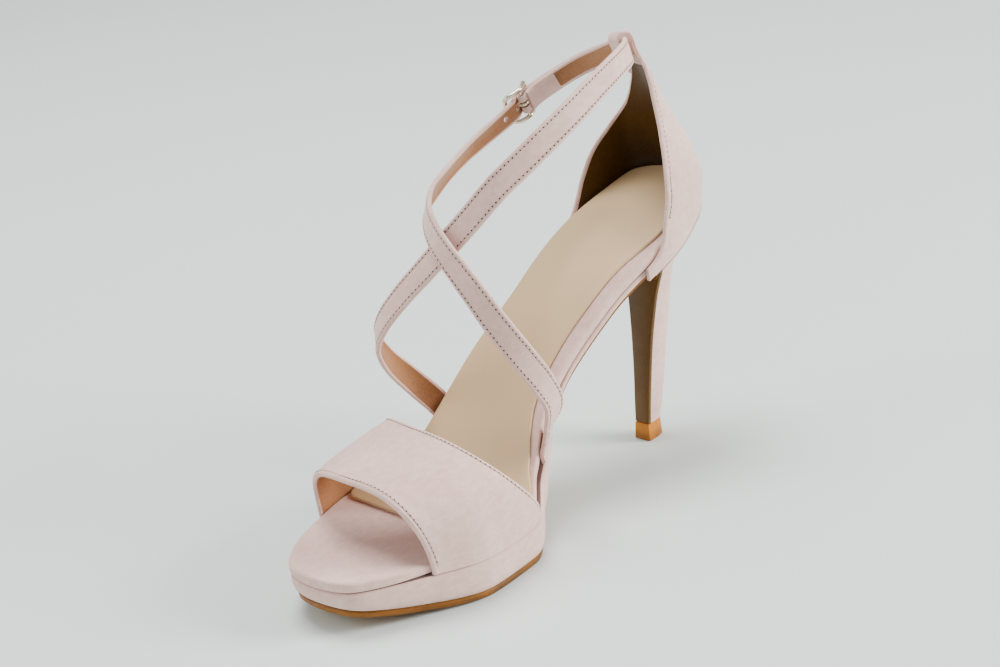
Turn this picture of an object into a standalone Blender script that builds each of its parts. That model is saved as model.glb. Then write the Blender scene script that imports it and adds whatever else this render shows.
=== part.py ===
"""A strappy platform sandal with a stiletto heel, for the right foot, at its real size.

The shoe stands on a floor at z = 0 with its toe towards -Y and its inner (medial) side towards +X.
Sizes are in millimetres and become metres where a mesh is made. The insole's top is the shape that
everything follows: a profile from the heel back to the toe tip and a plan with two unequal sides.
Tables hold shares of the named sizes, a row for each section.
"""

import math

import bmesh
import bpy
import numpy as np
from mathutils import Vector

MM = 0.001
GAP = 0.3
WELD = 0.01

# The last: its profile and its plan
SOLE_LENGTH = 239.8
BALL_WIDTH = 76.0
STEEPEST = 48.8
TOE_SHIFT = 5.8
BALL_SHARE = 0.70
SLOPES = (
    # share of the length, share of the steepest slope down to the toe
    (0.00, 0.390),
    (0.15, 0.414),
    (0.30, 0.744),
    (0.44, 0.906),
    (0.55, 1.000),
    (0.64, 0.369),
    (0.72, -0.012),
    (1.00, -0.033),
)
PLAN = (
    # share of the length, medial and lateral half width as shares of the ball width
    (0.000, 0.000, 0.000),
    (0.030, 0.200, 0.228),
    (0.080, 0.286, 0.271),
    (0.170, 0.346, 0.314),
    (0.300, 0.264, 0.326),
    (0.450, 0.200, 0.405),
    (0.580, 0.296, 0.482),
    (0.680, 0.492, 0.512),
    (0.780, 0.517, 0.476),
    (0.880, 0.400, 0.384),
    (0.950, 0.293, 0.278),
    (0.985, 0.199, 0.186),
    (1.000, 0.000, 0.000),
)

# Insole board, sock, platform and outsole
BOARD = 3.8
BOARD_ROUND = 1.2
BOARD_BEVEL = 0.4
BOARD_STEP = 0.8
BOARD_INSET = (
    # share of the length, inset under the vamp and the straps as a share of the board's step
    (0.00, 0.0),
    (0.46, 0.0),
    (0.53, 1.0),
    (0.86, 1.0),
    (0.92, 0.0),
    (1.00, 0.0),
)
SOCK = 0.9
SOCK_BEVEL = 0.25
SOCK_FRONT = 0.79
SOCK_CORNER = 9.0
SOCK_CORNER_SHARE = 0.03
SOCK_BORDER = 5.5
SOCK_INSET = (
    # share of the length, medial and lateral inset as shares of the border
    (0.00, 0.27, 0.27),
    (0.10, 0.55, 0.29),
    (0.25, 1.00, 0.33),
    (0.50, 0.91, 0.29),
    (0.62, 0.29, 0.22),
    (1.00, 0.22, 0.22),
)
PLATFORM = 12.2
PLATFORM_STEP = 1.4
PLATFORM_EDGE = (
    # share of the length, outset of the platform's edge as a share of its step
    (0.00, -0.30),
    (0.40, -0.15),
    (0.52, 1.00),
    (0.86, 1.00),
    (0.93, 0.00),
    (1.00, -0.40),
)
PLATFORM_DRAFT = 2.2
PLATFORM_SIDE = (
    # way down the side, inset as a share of the draft
    (0.00, 0.23),
    (0.06, 0.00),
    (0.55, 0.00),
    (0.85, 0.23),
    (1.00, 1.00),
)
OUTSOLE = 2.1
WAIST_SOLE = 1.3
WAIST_STACK = 8.3
OUTSOLE_INSET = 2.2
OUTSOLE_SIDE = (
    # way down the side, inset as a share of the outsole's thickness
    (0.00, 0.10),
    (0.15, 0.00),
    (0.80, 0.00),
    (1.00, 0.17),
)
TOE_SPRING = 7.6
SPRING_START = 0.75
GROUND_START = 0.65
WAIST_END = 0.46
BREAST = 0.215

# Vamp and counter
WALL = 1.9
VAMP_RISE = 34.5
VAMP = {
    # edge: shares of the length at its medial and lateral foot, bow at the top as a share of the
    # ball width, height as a share of the rise, squareness of the arch
    "front": (0.874, 0.841, -0.108, 0.832, 3.3),
    "rear": (0.645, 0.571, -0.380, 1.000, 2.55),
}
COUNTER_WAY = 59.5
COUNTER_TURN = 3.2
COUNTER_DEPTH = 6.8
COUNTER_HEIGHT = 50.0
COUNTER_BACK = (
    # height over the seat and setback as shares of the height, scale of the plan
    (-0.16, 0.000, 1.00),
    (0.02, -0.022, 1.02),
    (0.14, 0.010, 1.00),
    (0.26, 0.060, 0.95),
    (0.36, 0.114, 0.88),
    (0.46, 0.174, 0.80),
    (0.58, 0.240, 0.70),
    (0.70, 0.300, 0.59),
    (0.82, 0.355, 0.50),
    (0.94, 0.415, 0.43),
    (1.06, 0.490, 0.38),
)
COUNTER_TOP = (
    # share of the way round to the breast, medial and lateral top line as shares of the height
    (0.00, 0.98, 0.98),
    (0.11, 0.97, 0.96),
    (0.22, 0.95, 0.80),
    (0.34, 0.89, 0.56),
    (0.50, 0.73, 0.37),
    (0.62, 0.54, 0.23),
    (0.74, 0.31, 0.02),
    (0.82, 0.04, -0.18),
    (0.87, -0.28, -0.28),
    (0.93, -0.38, -0.36),
    (1.00, -0.44, -0.44),
)

# Straps, their tunnel and the buckle
STRAP_WIDTH = 10.0
STRAP_END_WIDTH = 8.2
STRAP = 1.8
STRAP_ROUND = 0.4
STRAP_RISE = 4.0
ROUTE_A = (
    # x as a share of the ball width, y of half the plan length, z of the ankle strap's height behind
    (-0.515, -0.084, 0.304),
    (-0.525, -0.165, 0.370),
    (-0.486, -0.232, 0.438),
    (-0.398, -0.252, 0.500),
    (-0.290, -0.228, 0.564),
    (-0.185, -0.180, 0.624),
    (-0.080, -0.128, 0.684),
    (0.024, -0.072, 0.746),
    (0.117, -0.008, 0.808),
    (0.200, 0.076, 0.861),
    (0.260, 0.172, 0.909),
    (0.291, 0.281, 0.950),
    (0.289, 0.399, 0.983),
    (0.259, 0.520, 1.004),
    (0.187, 0.640, 1.010),
    (0.080, 0.728, 1.002),
    (-0.040, 0.772, 0.986),
    (-0.160, 0.782, 0.965),
    (-0.280, 0.766, 0.940),
    (-0.375, 0.722, 0.912),
)
ROUTE_B = (
    (0.362, -0.021, 0.304),
    (0.353, -0.050, 0.366),
    (0.312, -0.088, 0.424),
    (0.256, -0.122, 0.482),
    (0.200, -0.150, 0.536),
    (0.127, -0.164, 0.589),
    (0.045, -0.172, 0.638),
    (-0.050, -0.166, 0.680),
    (-0.156, -0.136, 0.713),
    (-0.262, -0.078, 0.737),
    (-0.345, 0.004, 0.755),
    (-0.404, 0.102, 0.769),
    (-0.438, 0.191, 0.785),
    (-0.458, 0.281, 0.803),
    (-0.468, 0.372, 0.820),
    (-0.470, 0.462, 0.838),
)
FOOT_AXIS = (
    # z as a share of the ankle strap's height, x of the ball width, y of half the plan length
    (0.00, -0.05, -0.40),
    (0.25, -0.08, -0.10),
    (0.50, -0.08, 0.18),
    (0.75, -0.08, 0.38),
    (1.00, -0.08, 0.42),
    (1.10, -0.08, 0.42),
)
STRAP_STATION = 4.2
STRAP_FOOT = 18.0
STRAP_FEET = {
    # strap: share of the length at its foot, side of the foot (1 is medial)
    "a": (0.531, -1),
    "b": (0.545, 1),
}
STRAP_NARROWS = {"a": 0.78, "b": 0.50}
STRAP_TAPER = 30.0
TIP_ROUND = 5.0
BUCKLE_AT = (-0.468, 0.583, 0.869)
BUCKLE_LENGTH = 14.0
BUCKLE_HEIGHT = 13.4
BUCKLE_SQUARENESS = 6.0
BUCKLE_BOW = 3.4
WIRE = 1.7
BAR = 1.5
PRONG = 1.3
PRONG_PLAY = 0.5
PRONG_ARCH = 1.7
PRONG_PAST = 0.9
EYE_WALL = 0.8
EYE_WIDTH = 1.1
WEAVE = 0.72
CHAPE = 15.0
CHAPE_WALL = 0.8
CHAPE_SLOT = 6.4
SEAM = 0.3
TIP = 38.0
HOLE = 2.2
SLOT = 5.0
FREE_HOLE = 10.9
PRONG_HOLE = 2.6
PUNCH_REACH = 3.0
TUNNEL_WIDTH = 13.0
TUNNEL_WALL = 1.6
TUNNEL_SLACK = 1.0
TUNNEL_BASE = (0.84, 0.92)

# Heel, its cover on the breast and its top piece
HEEL_SHIFT = 1.0
TIP_HALF_WIDTH = 3.4
TIP_SET = 31.7
HEEL_SECTIONS = (
    # share of the stem's height, half width as a share of the tip's, and how far the front and the
    # back lie ahead of the seat's back as shares of the tip's set
    (0.00, 1.00, 1.000, 0.732),
    (0.12, 1.06, 0.978, 0.656),
    (0.28, 1.16, 0.940, 0.584),
    (0.52, 1.41, 0.886, 0.492),
    (0.68, 1.71, 0.845, 0.423),
    (0.82, 2.06, 0.808, 0.397),
    (1.00, 2.74, 0.744, 0.347),
)
HEEL_FRONT_POINTS = 7
HEEL_BACK_POINTS = 25
STEM_HEIGHT = 70.0
FLARE = 1.9
FLARE_LEVELS = (1.0, 0.93, 0.84, 0.72, 0.58, 0.42, 0.22)
COVER = 1.2
TOP_PIECE = 7.0
TOP_PIECE_SPREAD = 0.35
TOP_PIECE_BEVEL = 0.3

COLOURS = {
    # finish: base colour, roughness, metallic
    "suede": ((0.62, 0.50, 0.47), 0.90, 0.0),
    "lining": ((0.52, 0.32, 0.17), 0.55, 0.0),
    "sole": ((0.46, 0.26, 0.09), 0.50, 0.0),
    "metal": ((0.80, 0.76, 0.66), 0.22, 1.0),
}


def smooth(keys, values, at):
    """Reads a smooth curve through a table's rows that stays between neighbouring rows."""
    keys, values, at = (np.asarray(part, float) for part in (keys, values, at))
    step = np.diff(keys)
    rise = np.diff(values) / step
    tangent = np.zeros_like(values)
    tangent[0], tangent[-1] = rise[0], rise[-1]
    for i in range(1, len(keys) - 1):
        if rise[i - 1] * rise[i] > 0:
            before, after = step[i - 1] + 2 * step[i], 2 * step[i - 1] + step[i]
            tangent[i] = (before + after) / (before / rise[i - 1] + after / rise[i])
    at = np.clip(at, keys[0], keys[-1])
    i = np.clip(np.searchsorted(keys, at, side="right") - 1, 0, len(keys) - 2)
    t = (at - keys[i]) / step[i]
    return (
        values[i] * (1 + 2 * t) * (1 - t) ** 2
        + tangent[i] * step[i] * t * (1 - t) ** 2
        + values[i + 1] * t * t * (3 - 2 * t)
        + tangent[i + 1] * step[i] * t * t * (t - 1)
    )


def column(table, index):
    """One column of a table."""
    return [row[index] for row in table]


def ease(t):
    """A soft step from 0 to 1."""
    t = np.clip(t, 0.0, 1.0)
    return t * t * (3 - 2 * t)


def turn_of(share):
    """The share of the length as an even turn, which crowds the rows at heel and toe."""
    return np.arccos(np.clip(1 - 2 * np.asarray(share, float), -1, 1)) / math.pi


def unit(vectors):
    """Vectors of length one."""
    vectors = np.asarray(vectors, float)
    return vectors / np.linalg.norm(vectors, axis=-1, keepdims=True)


class Last:
    """The insole's top, as rows from the heel back to the toe tip."""

    def __init__(self, rows=241):
        self.turn = np.linspace(0.0, 1.0, rows)
        self.share = (1 - np.cos(math.pi * self.turn)) / 2
        self.slope = np.radians(STEEPEST * smooth(column(SLOPES, 0), column(SLOPES, 1), self.share))
        run = self.along(np.cos(self.slope))
        drop = self.along(np.sin(self.slope))
        ball = OUTSOLE + GAP + PLATFORM + GAP + BOARD
        self.y = run[-1] / 2 - run
        self.z = ball + np.interp(BALL_SHARE, self.share, drop) - drop
        shift = TOE_SHIFT * np.clip((self.share - 0.6) / 0.4, 0, 1) ** 2
        keys = turn_of(column(PLAN, 0))
        self.edge = {
            1: BALL_WIDTH * smooth(keys, column(PLAN, 1), self.turn) + shift,
            -1: shift - BALL_WIDTH * smooth(keys, column(PLAN, 2), self.turn),
        }
        self.half_length = run[-1] / 2
        self.crown = self.z[0] + COUNTER_HEIGHT + STRAP_RISE

    def along(self, rate):
        """The running sum of a rate along the foot."""
        step = np.diff(self.share) * SOLE_LENGTH
        return np.concatenate([[0.0], np.cumsum((rate[1:] + rate[:-1]) / 2 * step)])

    def normal(self, side):
        """Outward normals in plan of one side's edge."""
        x, y = self.edge[side], self.y
        out = unit(np.stack([-np.gradient(y), np.gradient(x)], -1)) * side
        out[0], out[-1] = (0.0, 1.0), (0.0, -1.0)
        return out

    def rim(self, share, side, outset):
        """Plan points of one side's edge at shares of the length, moved outward."""
        turn = turn_of(share)
        out = self.normal(side)
        x = np.interp(turn, self.turn, self.edge[side]) + outset * np.interp(turn, self.turn, out[:, 0])
        y = np.interp(turn, self.turn, self.y) + outset * np.interp(turn, self.turn, out[:, 1])
        return x, y

    def share_at(self, y):
        """The share of the length at a place along the foot."""
        return np.interp(-np.asarray(y, float), -self.y, self.share)

    def top(self, y):
        """Height of the insole's top, continued straight past the heel and the toe."""
        y = np.asarray(y, float)
        past = np.clip(y - self.y[0], 0, None) * math.tan(self.slope[0])
        before = np.clip(self.y[-1] - y, 0, None) * math.tan(self.slope[-1])
        return np.interp(-y, -self.y, self.z) + past - before

    def level(self, y, depth):
        """Height of a surface that lies some depth under the top, measured square to it."""
        slope = np.interp(-np.asarray(y, float), -self.y, self.slope)
        return self.top(y) - depth / np.cos(slope)

    def grounded(self, y):
        """How far the underside has come down from the waist to the ground, 0 to 1."""
        return ease((self.share_at(y) - WAIST_END) / (GROUND_START - WAIST_END))

    def under(self, y):
        """Height of the outsole's underside: raised waist, flat tread and toe spring."""
        rise = np.clip((self.share_at(y) - SPRING_START) / (1 - SPRING_START), 0, 1) ** 2
        blend = self.grounded(y)
        return self.level(y, WAIST_STACK) * (1 - blend) + TOE_SPRING * rise * blend

    def sole_top(self, y):
        """Height of the outsole's upper face, which thins towards the waist."""
        blend = self.grounded(y)
        slope = np.interp(-np.asarray(y, float), -self.y, self.slope)
        return self.under(y) + OUTSOLE * blend + WAIST_SOLE * (1 - blend) / np.cos(slope)


def finish(name):
    """A Principled material of one of the finishes."""
    if name in bpy.data.materials:
        return bpy.data.materials[name]
    colour, roughness, metallic = COLOURS[name]
    material = bpy.data.materials.new(name)
    material.use_nodes = True
    shader = material.node_tree.nodes["Principled BSDF"]
    shader.inputs["Base Color"].default_value = (*colour, 1.0)
    shader.inputs["Roughness"].default_value = roughness
    shader.inputs["Metallic"].default_value = metallic
    return material


def solid(name, points, faces, look, shown=True):
    """A closed mesh object from points in millimetres."""
    mesh = bpy.data.meshes.new(name)
    mesh.from_pydata([Vector(p) * MM for p in points], [], faces)
    shape = bmesh.new()
    shape.from_mesh(mesh)
    bmesh.ops.remove_doubles(shape, verts=shape.verts, dist=WELD * MM)
    bmesh.ops.recalc_face_normals(shape, faces=shape.faces)
    shape.to_mesh(mesh)
    shape.free()
    mesh.shade_smooth()
    mesh.set_sharp_from_angle(angle=math.radians(40))
    mesh.materials.append(finish(look))
    thing = bpy.data.objects.new(name, mesh)
    bpy.context.collection.objects.link(thing)
    if not shown:
        thing.hide_render = True
        thing.display_type = "WIRE"
    return thing


def tube(name, rings, look, shown=True):
    """A solid through rings of equal count, with flat ends."""
    rings = np.asarray(rings, float)
    count, sides = rings.shape[:2]
    faces = [
        (i * sides + j, i * sides + (j + 1) % sides, (i + 1) * sides + (j + 1) % sides, (i + 1) * sides + j)
        for i in range(count - 1)
        for j in range(sides)
    ]
    faces.append(tuple(range(sides)))
    faces.append(tuple((count - 1) * sides + j for j in range(sides)))
    return solid(name, rings.reshape(-1, 3), faces, look, shown)


def ring_tube(name, rings, look, shown=True):
    """A solid through rings that close on themselves, such as a wire frame."""
    rings = np.asarray(rings, float)
    count, sides = rings.shape[:2]
    faces = [
        (
            i * sides + j,
            i * sides + (j + 1) % sides,
            (i + 1) % count * sides + (j + 1) % sides,
            (i + 1) % count * sides + j,
        )
        for i in range(count)
        for j in range(sides)
    ]
    return solid(name, rings.reshape(-1, 3), faces, look, shown)


def plate(name, loops, look):
    """A solid between loops, each a pair of edges, with ruled faces across its top and bottom."""
    rows = len(loops[0][0])
    points = np.concatenate([np.concatenate([medial, lateral[::-1]]) for medial, lateral in loops])
    size = 2 * rows
    faces = []
    for k in range(len(loops) - 1):
        for j in range(size):
            n = (j + 1) % size
            faces.append((k * size + j, k * size + n, (k + 1) * size + n, (k + 1) * size + j))
    for base in (0, (len(loops) - 1) * size):
        for i in range(rows - 1):
            faces.append((base + i, base + i + 1, base + size - 2 - i, base + size - 1 - i))
    return solid(name, points, faces, look)


def shell(name, outer, inner, look):
    """A wall between two grids of points, closed along its four edges."""
    outer, inner = np.asarray(outer, float), np.asarray(inner, float)
    rows, cols = outer.shape[:2]
    half = rows * cols
    faces = []
    for i in range(rows - 1):
        for j in range(cols - 1):
            a = i * cols + j
            faces.append((a, a + 1, a + cols + 1, a + cols))
            faces.append((half + a, half + a + cols, half + a + cols + 1, half + a + 1))
    rim = [j for j in range(cols)]
    rim += [i * cols + cols - 1 for i in range(1, rows)]
    rim += [(rows - 1) * cols + j for j in range(cols - 2, -1, -1)]
    rim += [i * cols for i in range(rows - 2, 0, -1)]
    for k, a in enumerate(rim):
        b = rim[(k + 1) % len(rim)]
        faces.append((a, b, half + b, half + a))
    return solid(name, np.concatenate([outer.reshape(-1, 3), inner.reshape(-1, 3)]), faces, look)


def combine(thing, other, operation):
    """Applies a Boolean with another object, which is then removed."""
    step = thing.modifiers.new(operation.title(), "BOOLEAN")
    step.operation = operation
    step.object = other
    step.solver = "EXACT"
    bpy.context.view_layer.update()
    made = bpy.data.meshes.new_from_object(thing.evaluated_get(bpy.context.evaluated_depsgraph_get()))
    thing.modifiers.clear()
    shape = bmesh.new()
    shape.from_mesh(made)
    bmesh.ops.remove_doubles(shape, verts=shape.verts, dist=WELD * MM)
    bmesh.ops.dissolve_degenerate(shape, edges=shape.edges, dist=WELD * MM)
    shape.to_mesh(made)
    shape.free()
    old = thing.data
    thing.data = made
    made.name = thing.name
    bpy.data.meshes.remove(old)
    bpy.data.objects.remove(other)
    return thing


def edges(last, share, outset, height, at):
    """The medial and lateral edge of a plate, as points in space."""
    pair = []
    for side, distance in zip((1, -1), outset):
        x, y = last.rim(share, side, distance)
        pair.append(np.stack([x, y, height(y, at)], -1))
    return pair


def table_at(table, share, index=1):
    """A table's column read at shares of its first column's size."""
    return np.interp(share, column(table, 0), column(table, index))


def board_inset(share):
    """How far the board's edge lies inside the last's plan."""
    return BOARD_STEP * table_at(BOARD_INSET, share)


def platform_outset(share):
    """How far the platform's edge lies outside the last's plan."""
    return PLATFORM_STEP * table_at(PLATFORM_EDGE, share)


def rows_between(first, last_share, count):
    """Shares of the length, crowded at heel and toe."""
    turn = np.linspace(turn_of(first), turn_of(last_share), count)
    return (1 - np.cos(math.pi * turn)) / 2


def build_board(last):
    """The insole board in its wrap, with a rounded edge all round."""
    share = rows_between(0.0, 1.0, 48)
    edge = -board_inset(share)
    r = BOARD_ROUND
    steps = (
        # inset, depth under the top
        (r, 0.0),
        (0.35 * r, 0.15 * r),
        (0.08 * r, 0.45 * r),
        (0.0, r),
        (0.0, BOARD - BOARD_BEVEL),
        (BOARD_BEVEL, BOARD),
    )
    loops = [edges(last, share, [edge - move] * 2, last.level, depth) for move, depth in steps]
    return plate("insole_board", loops, "suede")


def build_sock(last):
    """The sock: a thin sheet of leather on the insole board, from the heel to under the vamp."""
    share = rows_between(0.0, SOCK_FRONT, 44)
    pinch = np.clip((share - SOCK_FRONT) / SOCK_CORNER_SHARE + 1, 0, 0.99)
    narrow = SOCK_CORNER * (1 - np.sqrt(1 - pinch**2))
    inset = [board_inset(share) + SOCK_BORDER * table_at(SOCK_INSET, share, k) + narrow for k in (1, 2)]
    steps = (
        # inset, height over the board
        (SOCK_BEVEL, GAP + SOCK),
        (0.0, GAP + SOCK - SOCK_BEVEL),
        (0.0, GAP),
    )
    loops = [edges(last, share, [-part - move for part in inset], last.level, -rise) for move, rise in steps]
    return plate("sock", loops, "lining")


def build_platform(last):
    """The covered platform, thick under the ball and thin along the waist."""

    def level(y, way):
        """Height at a way down the side."""
        return last.level(y, BOARD + GAP) * (1 - way) + (last.sole_top(y) + GAP) * way

    share = rows_between(BREAST, 1.0, 46)
    edge = platform_outset(share)
    loops = [
        edges(last, share, [edge - PLATFORM_DRAFT * inset] * 2, level, way) for way, inset in PLATFORM_SIDE
    ]
    return plate("platform", loops, "suede")


def build_outsole(last):
    """The leather outsole: flat under the ball, sprung at the toe, up the waist to the breast."""

    def level(y, way):
        """Height at a way down the side."""
        return last.sole_top(y) * (1 - way) + last.under(y) * way

    share = rows_between(BREAST, 1.0, 46)
    edge = platform_outset(share) - OUTSOLE_INSET
    loops = [edges(last, share, [edge - OUTSOLE * inset] * 2, level, way) for way, inset in OUTSOLE_SIDE]
    return plate("outsole", loops, "sole")


def vamp_point(last, angle, way, inward):
    """A point of the vamp: angle 0 at its medial foot to pi at the lateral, way 0 at the front edge."""
    edge = {}
    for name, (medial, lateral, arch, height, squareness) in VAMP.items():
        ends = np.interp(turn_of([medial, lateral]), last.turn, last.y)
        across = (1 - np.cos(angle)) / 2
        y = ends[0] + (ends[1] - ends[0]) * across + BALL_WIDTH * arch * np.sin(angle)
        edge[name] = (y, VAMP_RISE * height, squareness)
    y, rise, square = (a * (1 - way) + b * way for a, b in zip(edge["front"], edge["rear"]))
    share = last.share_at(y)
    outset = GAP + WALL - inward - board_inset(share)
    turn = turn_of(share)
    sides = [np.interp(turn, last.turn, last.edge[side]) + side * outset for side in (1, -1)]
    centre, half = (sides[0] + sides[1]) / 2, (sides[0] - sides[1]) / 2
    c, s = np.cos(angle), np.abs(np.sin(angle))
    x = centre + half * np.sign(c) * np.abs(c) ** (2 / square)
    z = last.level(y, BOARD + GAP) + GAP + (rise - inward) * s ** (2 / square)
    return np.stack([x, y, z], -1)


def build_vamp(last):
    """The open-toed band over the forefoot, one wall with its feet on the platform."""
    turn = np.linspace(0.0, 1.0, 35)
    angle = math.pi * (turn - 0.10 * np.sin(2 * math.pi * turn) / 2)
    ways = np.linspace(0.0, 1.0, 10)
    outer, inner = (
        [[vamp_point(last, a, w, inward) for a in angle] for w in ways] for inward in (0.0, WALL)
    )
    return shell("vamp", outer, inner, "suede")


def seat_line(last, way, outset):
    """Plan points round the seat by signed distance from the heel back, medial side positive."""
    points, normals, places = [], [], []
    for side in (-1, 1):
        x, y = last.edge[side], last.y
        run = np.concatenate([[0.0], np.cumsum(np.hypot(np.diff(x), np.diff(y)))])
        keep = run < 2 * COUNTER_WAY
        order = slice(None, None, -1) if side < 0 else slice(1, None)
        places.append((side * run[keep])[order])
        points.append(np.stack([x, y], -1)[keep][order])
        normals.append(last.normal(side)[keep][order])
    places, points, normals = (np.concatenate(part) for part in (places, points, normals))
    at = [np.interp(way, places, points[:, k]) for k in (0, 1)]
    out = unit(np.stack([np.interp(way, places, normals[:, k]) for k in (0, 1)], -1))
    return np.stack(at, -1) + outset * out, out


def counter_point(last, side_way, height):
    """Outer plan point of the counter at a height over the seat's back, and its outward normal."""
    way = COUNTER_TURN + side_way * COUNTER_WAY
    base, out = seat_line(last, way, GAP + WALL)
    back, _ = seat_line(last, COUNTER_TURN, GAP + WALL)
    share = height / COUNTER_HEIGHT
    setback = COUNTER_HEIGHT * smooth(column(COUNTER_BACK, 0), column(COUNTER_BACK, 1), share)
    scale = smooth(column(COUNTER_BACK, 0), column(COUNTER_BACK, 2), share)
    point = back + (base - back) * scale
    return point - np.array([0.0, setback]), out


def build_counter(last):
    """The heel cup: a wall from the seat up to the back of the ankle, with the straps' tunnel."""
    columns = np.linspace(-1.0, 1.0, 39)
    columns = columns * (0.75 + 0.25 * np.abs(columns))
    rows = np.linspace(0.0, 1.0, 12)
    seat = last.z[0]
    outer, inner = [], []
    for c in columns:
        foot, _ = counter_point(last, c, 0.0)
        low = last.level(foot[1], COUNTER_DEPTH) - seat
        index = 1 if c > 0 else 2
        high = COUNTER_HEIGHT * smooth(column(COUNTER_TOP, 0), column(COUNTER_TOP, index), abs(c))
        line_out, line_in = [], []
        for r in rows:
            height = low + (high - low) * r
            point, out = counter_point(last, c, height)
            line_out.append((*point, seat + height))
            line_in.append((*(point - WALL * out), seat + height))
        outer.append(line_out)
        inner.append(line_in)
    return shell("counter", outer, inner, "suede")


def spline(points, spacing, fine_at=None):
    """Evenly spaced places on a smooth curve through points, closer together at the buckle."""
    points = np.asarray(points, float)
    ends = (2 * points[0] - points[1], 2 * points[-1] - points[-2])
    padded = np.vstack([ends[0], points, ends[1]])
    dense = []
    for i in range(len(points) - 1):
        p0, p1, p2, p3 = padded[i : i + 4]
        square = 2 * p0 - 5 * p1 + 4 * p2 - p3
        cube = 3 * p1 - p0 - 3 * p2 + p3
        for t in np.linspace(0, 1, 12, endpoint=False):
            dense.append(p1 + ((p2 - p0) * t + square * t**2 + cube * t**3) / 2)
    dense.append(points[-1])
    dense = np.array(dense)
    run = np.concatenate([[0.0], np.cumsum(np.linalg.norm(np.diff(dense, axis=0), axis=1))])
    at = np.linspace(0, run[-1], int(round(run[-1] / spacing)) + 1)
    if fine_at is not None:
        middle = run[np.argmin(np.linalg.norm(dense - fine_at, axis=1))]
        far = np.abs(at - middle) > BUCKLE_LENGTH / 2 + spacing / 2
        close = middle + BUCKLE_LENGTH / 2 * np.linspace(-1, 1, 12)
        at = np.sort(np.concatenate([at[far], close]))
    return np.stack([np.interp(at, run, dense[:, k]) for k in range(3)], -1), at


def body_point(last, row):
    """A route's row in millimetres."""
    return np.array([row[0] * BALL_WIDTH, row[1] * last.half_length, row[2] * last.crown])


def outward(last, points):
    """Directions away from the axis of the foot and leg."""
    share = points[:, 2] / last.crown
    x_axis = BALL_WIDTH * table_at(FOOT_AXIS, share, 1)
    y_axis = last.half_length * table_at(FOOT_AXIS, share, 2)
    out = np.stack([points[:, 0] - x_axis, points[:, 1] - y_axis, np.full(len(points), 6.0)], -1)
    return unit(out)


def frame_along(last, points):
    """Tangent, outward normal and width direction at each place of a route."""
    tangent = unit(np.gradient(points, axis=0))
    normal = outward(last, points)
    normal = unit(normal - tangent * np.sum(normal * tangent, axis=1, keepdims=True))
    width = np.cross(tangent, normal)
    return tangent, normal, width


def strap_ring(centre, normal, width, half_width, half_thick):
    """The eight corners of a strap's cross-section."""
    r = STRAP_ROUND
    corners = (
        (1, -1, 0, r), (1, 1, 0, -r), (1, 1, -r, 0), (-1, 1, r, 0),
        (-1, 1, 0, -r), (-1, -1, 0, r), (-1, -1, r, 0), (1, -1, -r, 0),
    )
    return [
        centre + width * (u * half_width + du) + normal * (v * half_thick + dv) for u, v, du, dv in corners
    ]


def root(last, share, side):
    """A strap's foot beside the insole board, on the platform, and the direction of the edge."""
    outset = 2 * GAP + STRAP / 2 - float(board_inset(share))
    half = STRAP_WIDTH / 2 / SOLE_LENGTH
    x, y = last.rim(np.array([share - half, share + half]), side, outset)
    behind, ahead = np.stack([x, y, last.level(y, BOARD + GAP) + 2 * GAP], -1)
    return (behind + ahead) / 2, unit(ahead - behind)


def ribbon(name, last, strap, points, tip=0.0, fine_at=None):
    """A strap along a route, which starts along the sole's edge and may end in a rounded tip."""
    along_edge = root(last, *STRAP_FEET[strap])[1]
    places, run = spline(points, STRAP_STATION, fine_at)
    tangent, normal, width = frame_along(last, places)
    if np.dot(width[0], along_edge) < 0:
        along_edge = -along_edge
    near = 1 - ease(run / STRAP_FOOT)
    width = unit(width * (1 - near[:, None]) + along_edge * near[:, None])
    normal = unit(np.cross(width, tangent))
    normal *= np.sign(np.sum(normal * outward(last, places), axis=1, keepdims=True))
    narrow = ease((run - STRAP_NARROWS[strap] * run[-1]) / STRAP_TAPER)
    half = (STRAP_WIDTH + (STRAP_END_WIDTH - STRAP_WIDTH) * narrow) / 2
    if tip:
        left = np.clip((run[-1] - run) / tip, 0, 1)
        half = half * np.sqrt(np.clip(1 - (1 - left) ** 2, 0.06, 1))
    rings = [strap_ring(p, n, w, h, STRAP / 2) for p, n, w, h in zip(places, normal, width, half)]
    return tube(name, rings, "suede"), places, normal, width


def buckle_axes(last):
    """Where the buckle's bar is, and the directions along the strap, outward and up."""
    at = body_point(last, BUCKLE_AT)
    along = unit(at - body_point(last, ROUTE_B[-1]))
    out = outward(last, at[None])[0]
    out = unit(out - along * np.dot(out, along))
    return at, along, out, np.cross(along, out)


def bow(t):
    """The buckle's height over its bar's level at a place along the strap."""
    return BUCKLE_BOW * ((2 * t / (BUCKLE_LENGTH - WIRE)) ** 2 - 0.45)


def buckle_levels():
    """Heights of the buckle's strap layers: under its ends, over its bar, and the chape."""
    under = bow((BUCKLE_LENGTH - WIRE) / 2) - WIRE / 2 - 2 * GAP - STRAP / 2
    over = bow(0.0) + BAR / 2 + GAP + CHAPE_WALL + GAP + STRAP / 2
    chape = under - STRAP - GAP
    return under, over, chape


def rise(last, strap):
    """A strap's foot and the place straight above it, level with the insole board's top."""
    foot = root(last, *STRAP_FEET[strap])[0]
    return [foot, foot + np.array([0.0, 0.0, BOARD])]


def route_a(last):
    """The route of the strap that holds the buckle."""
    at, along, out, _ = buckle_axes(last)
    chape = buckle_levels()[2]
    route = rise(last, "a") + [body_point(last, row) for row in ROUTE_A]
    return route + [at + along * t + out * chape for t in (BUCKLE_LENGTH / 2, BAR / 2 + GAP + SEAM)]


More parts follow.
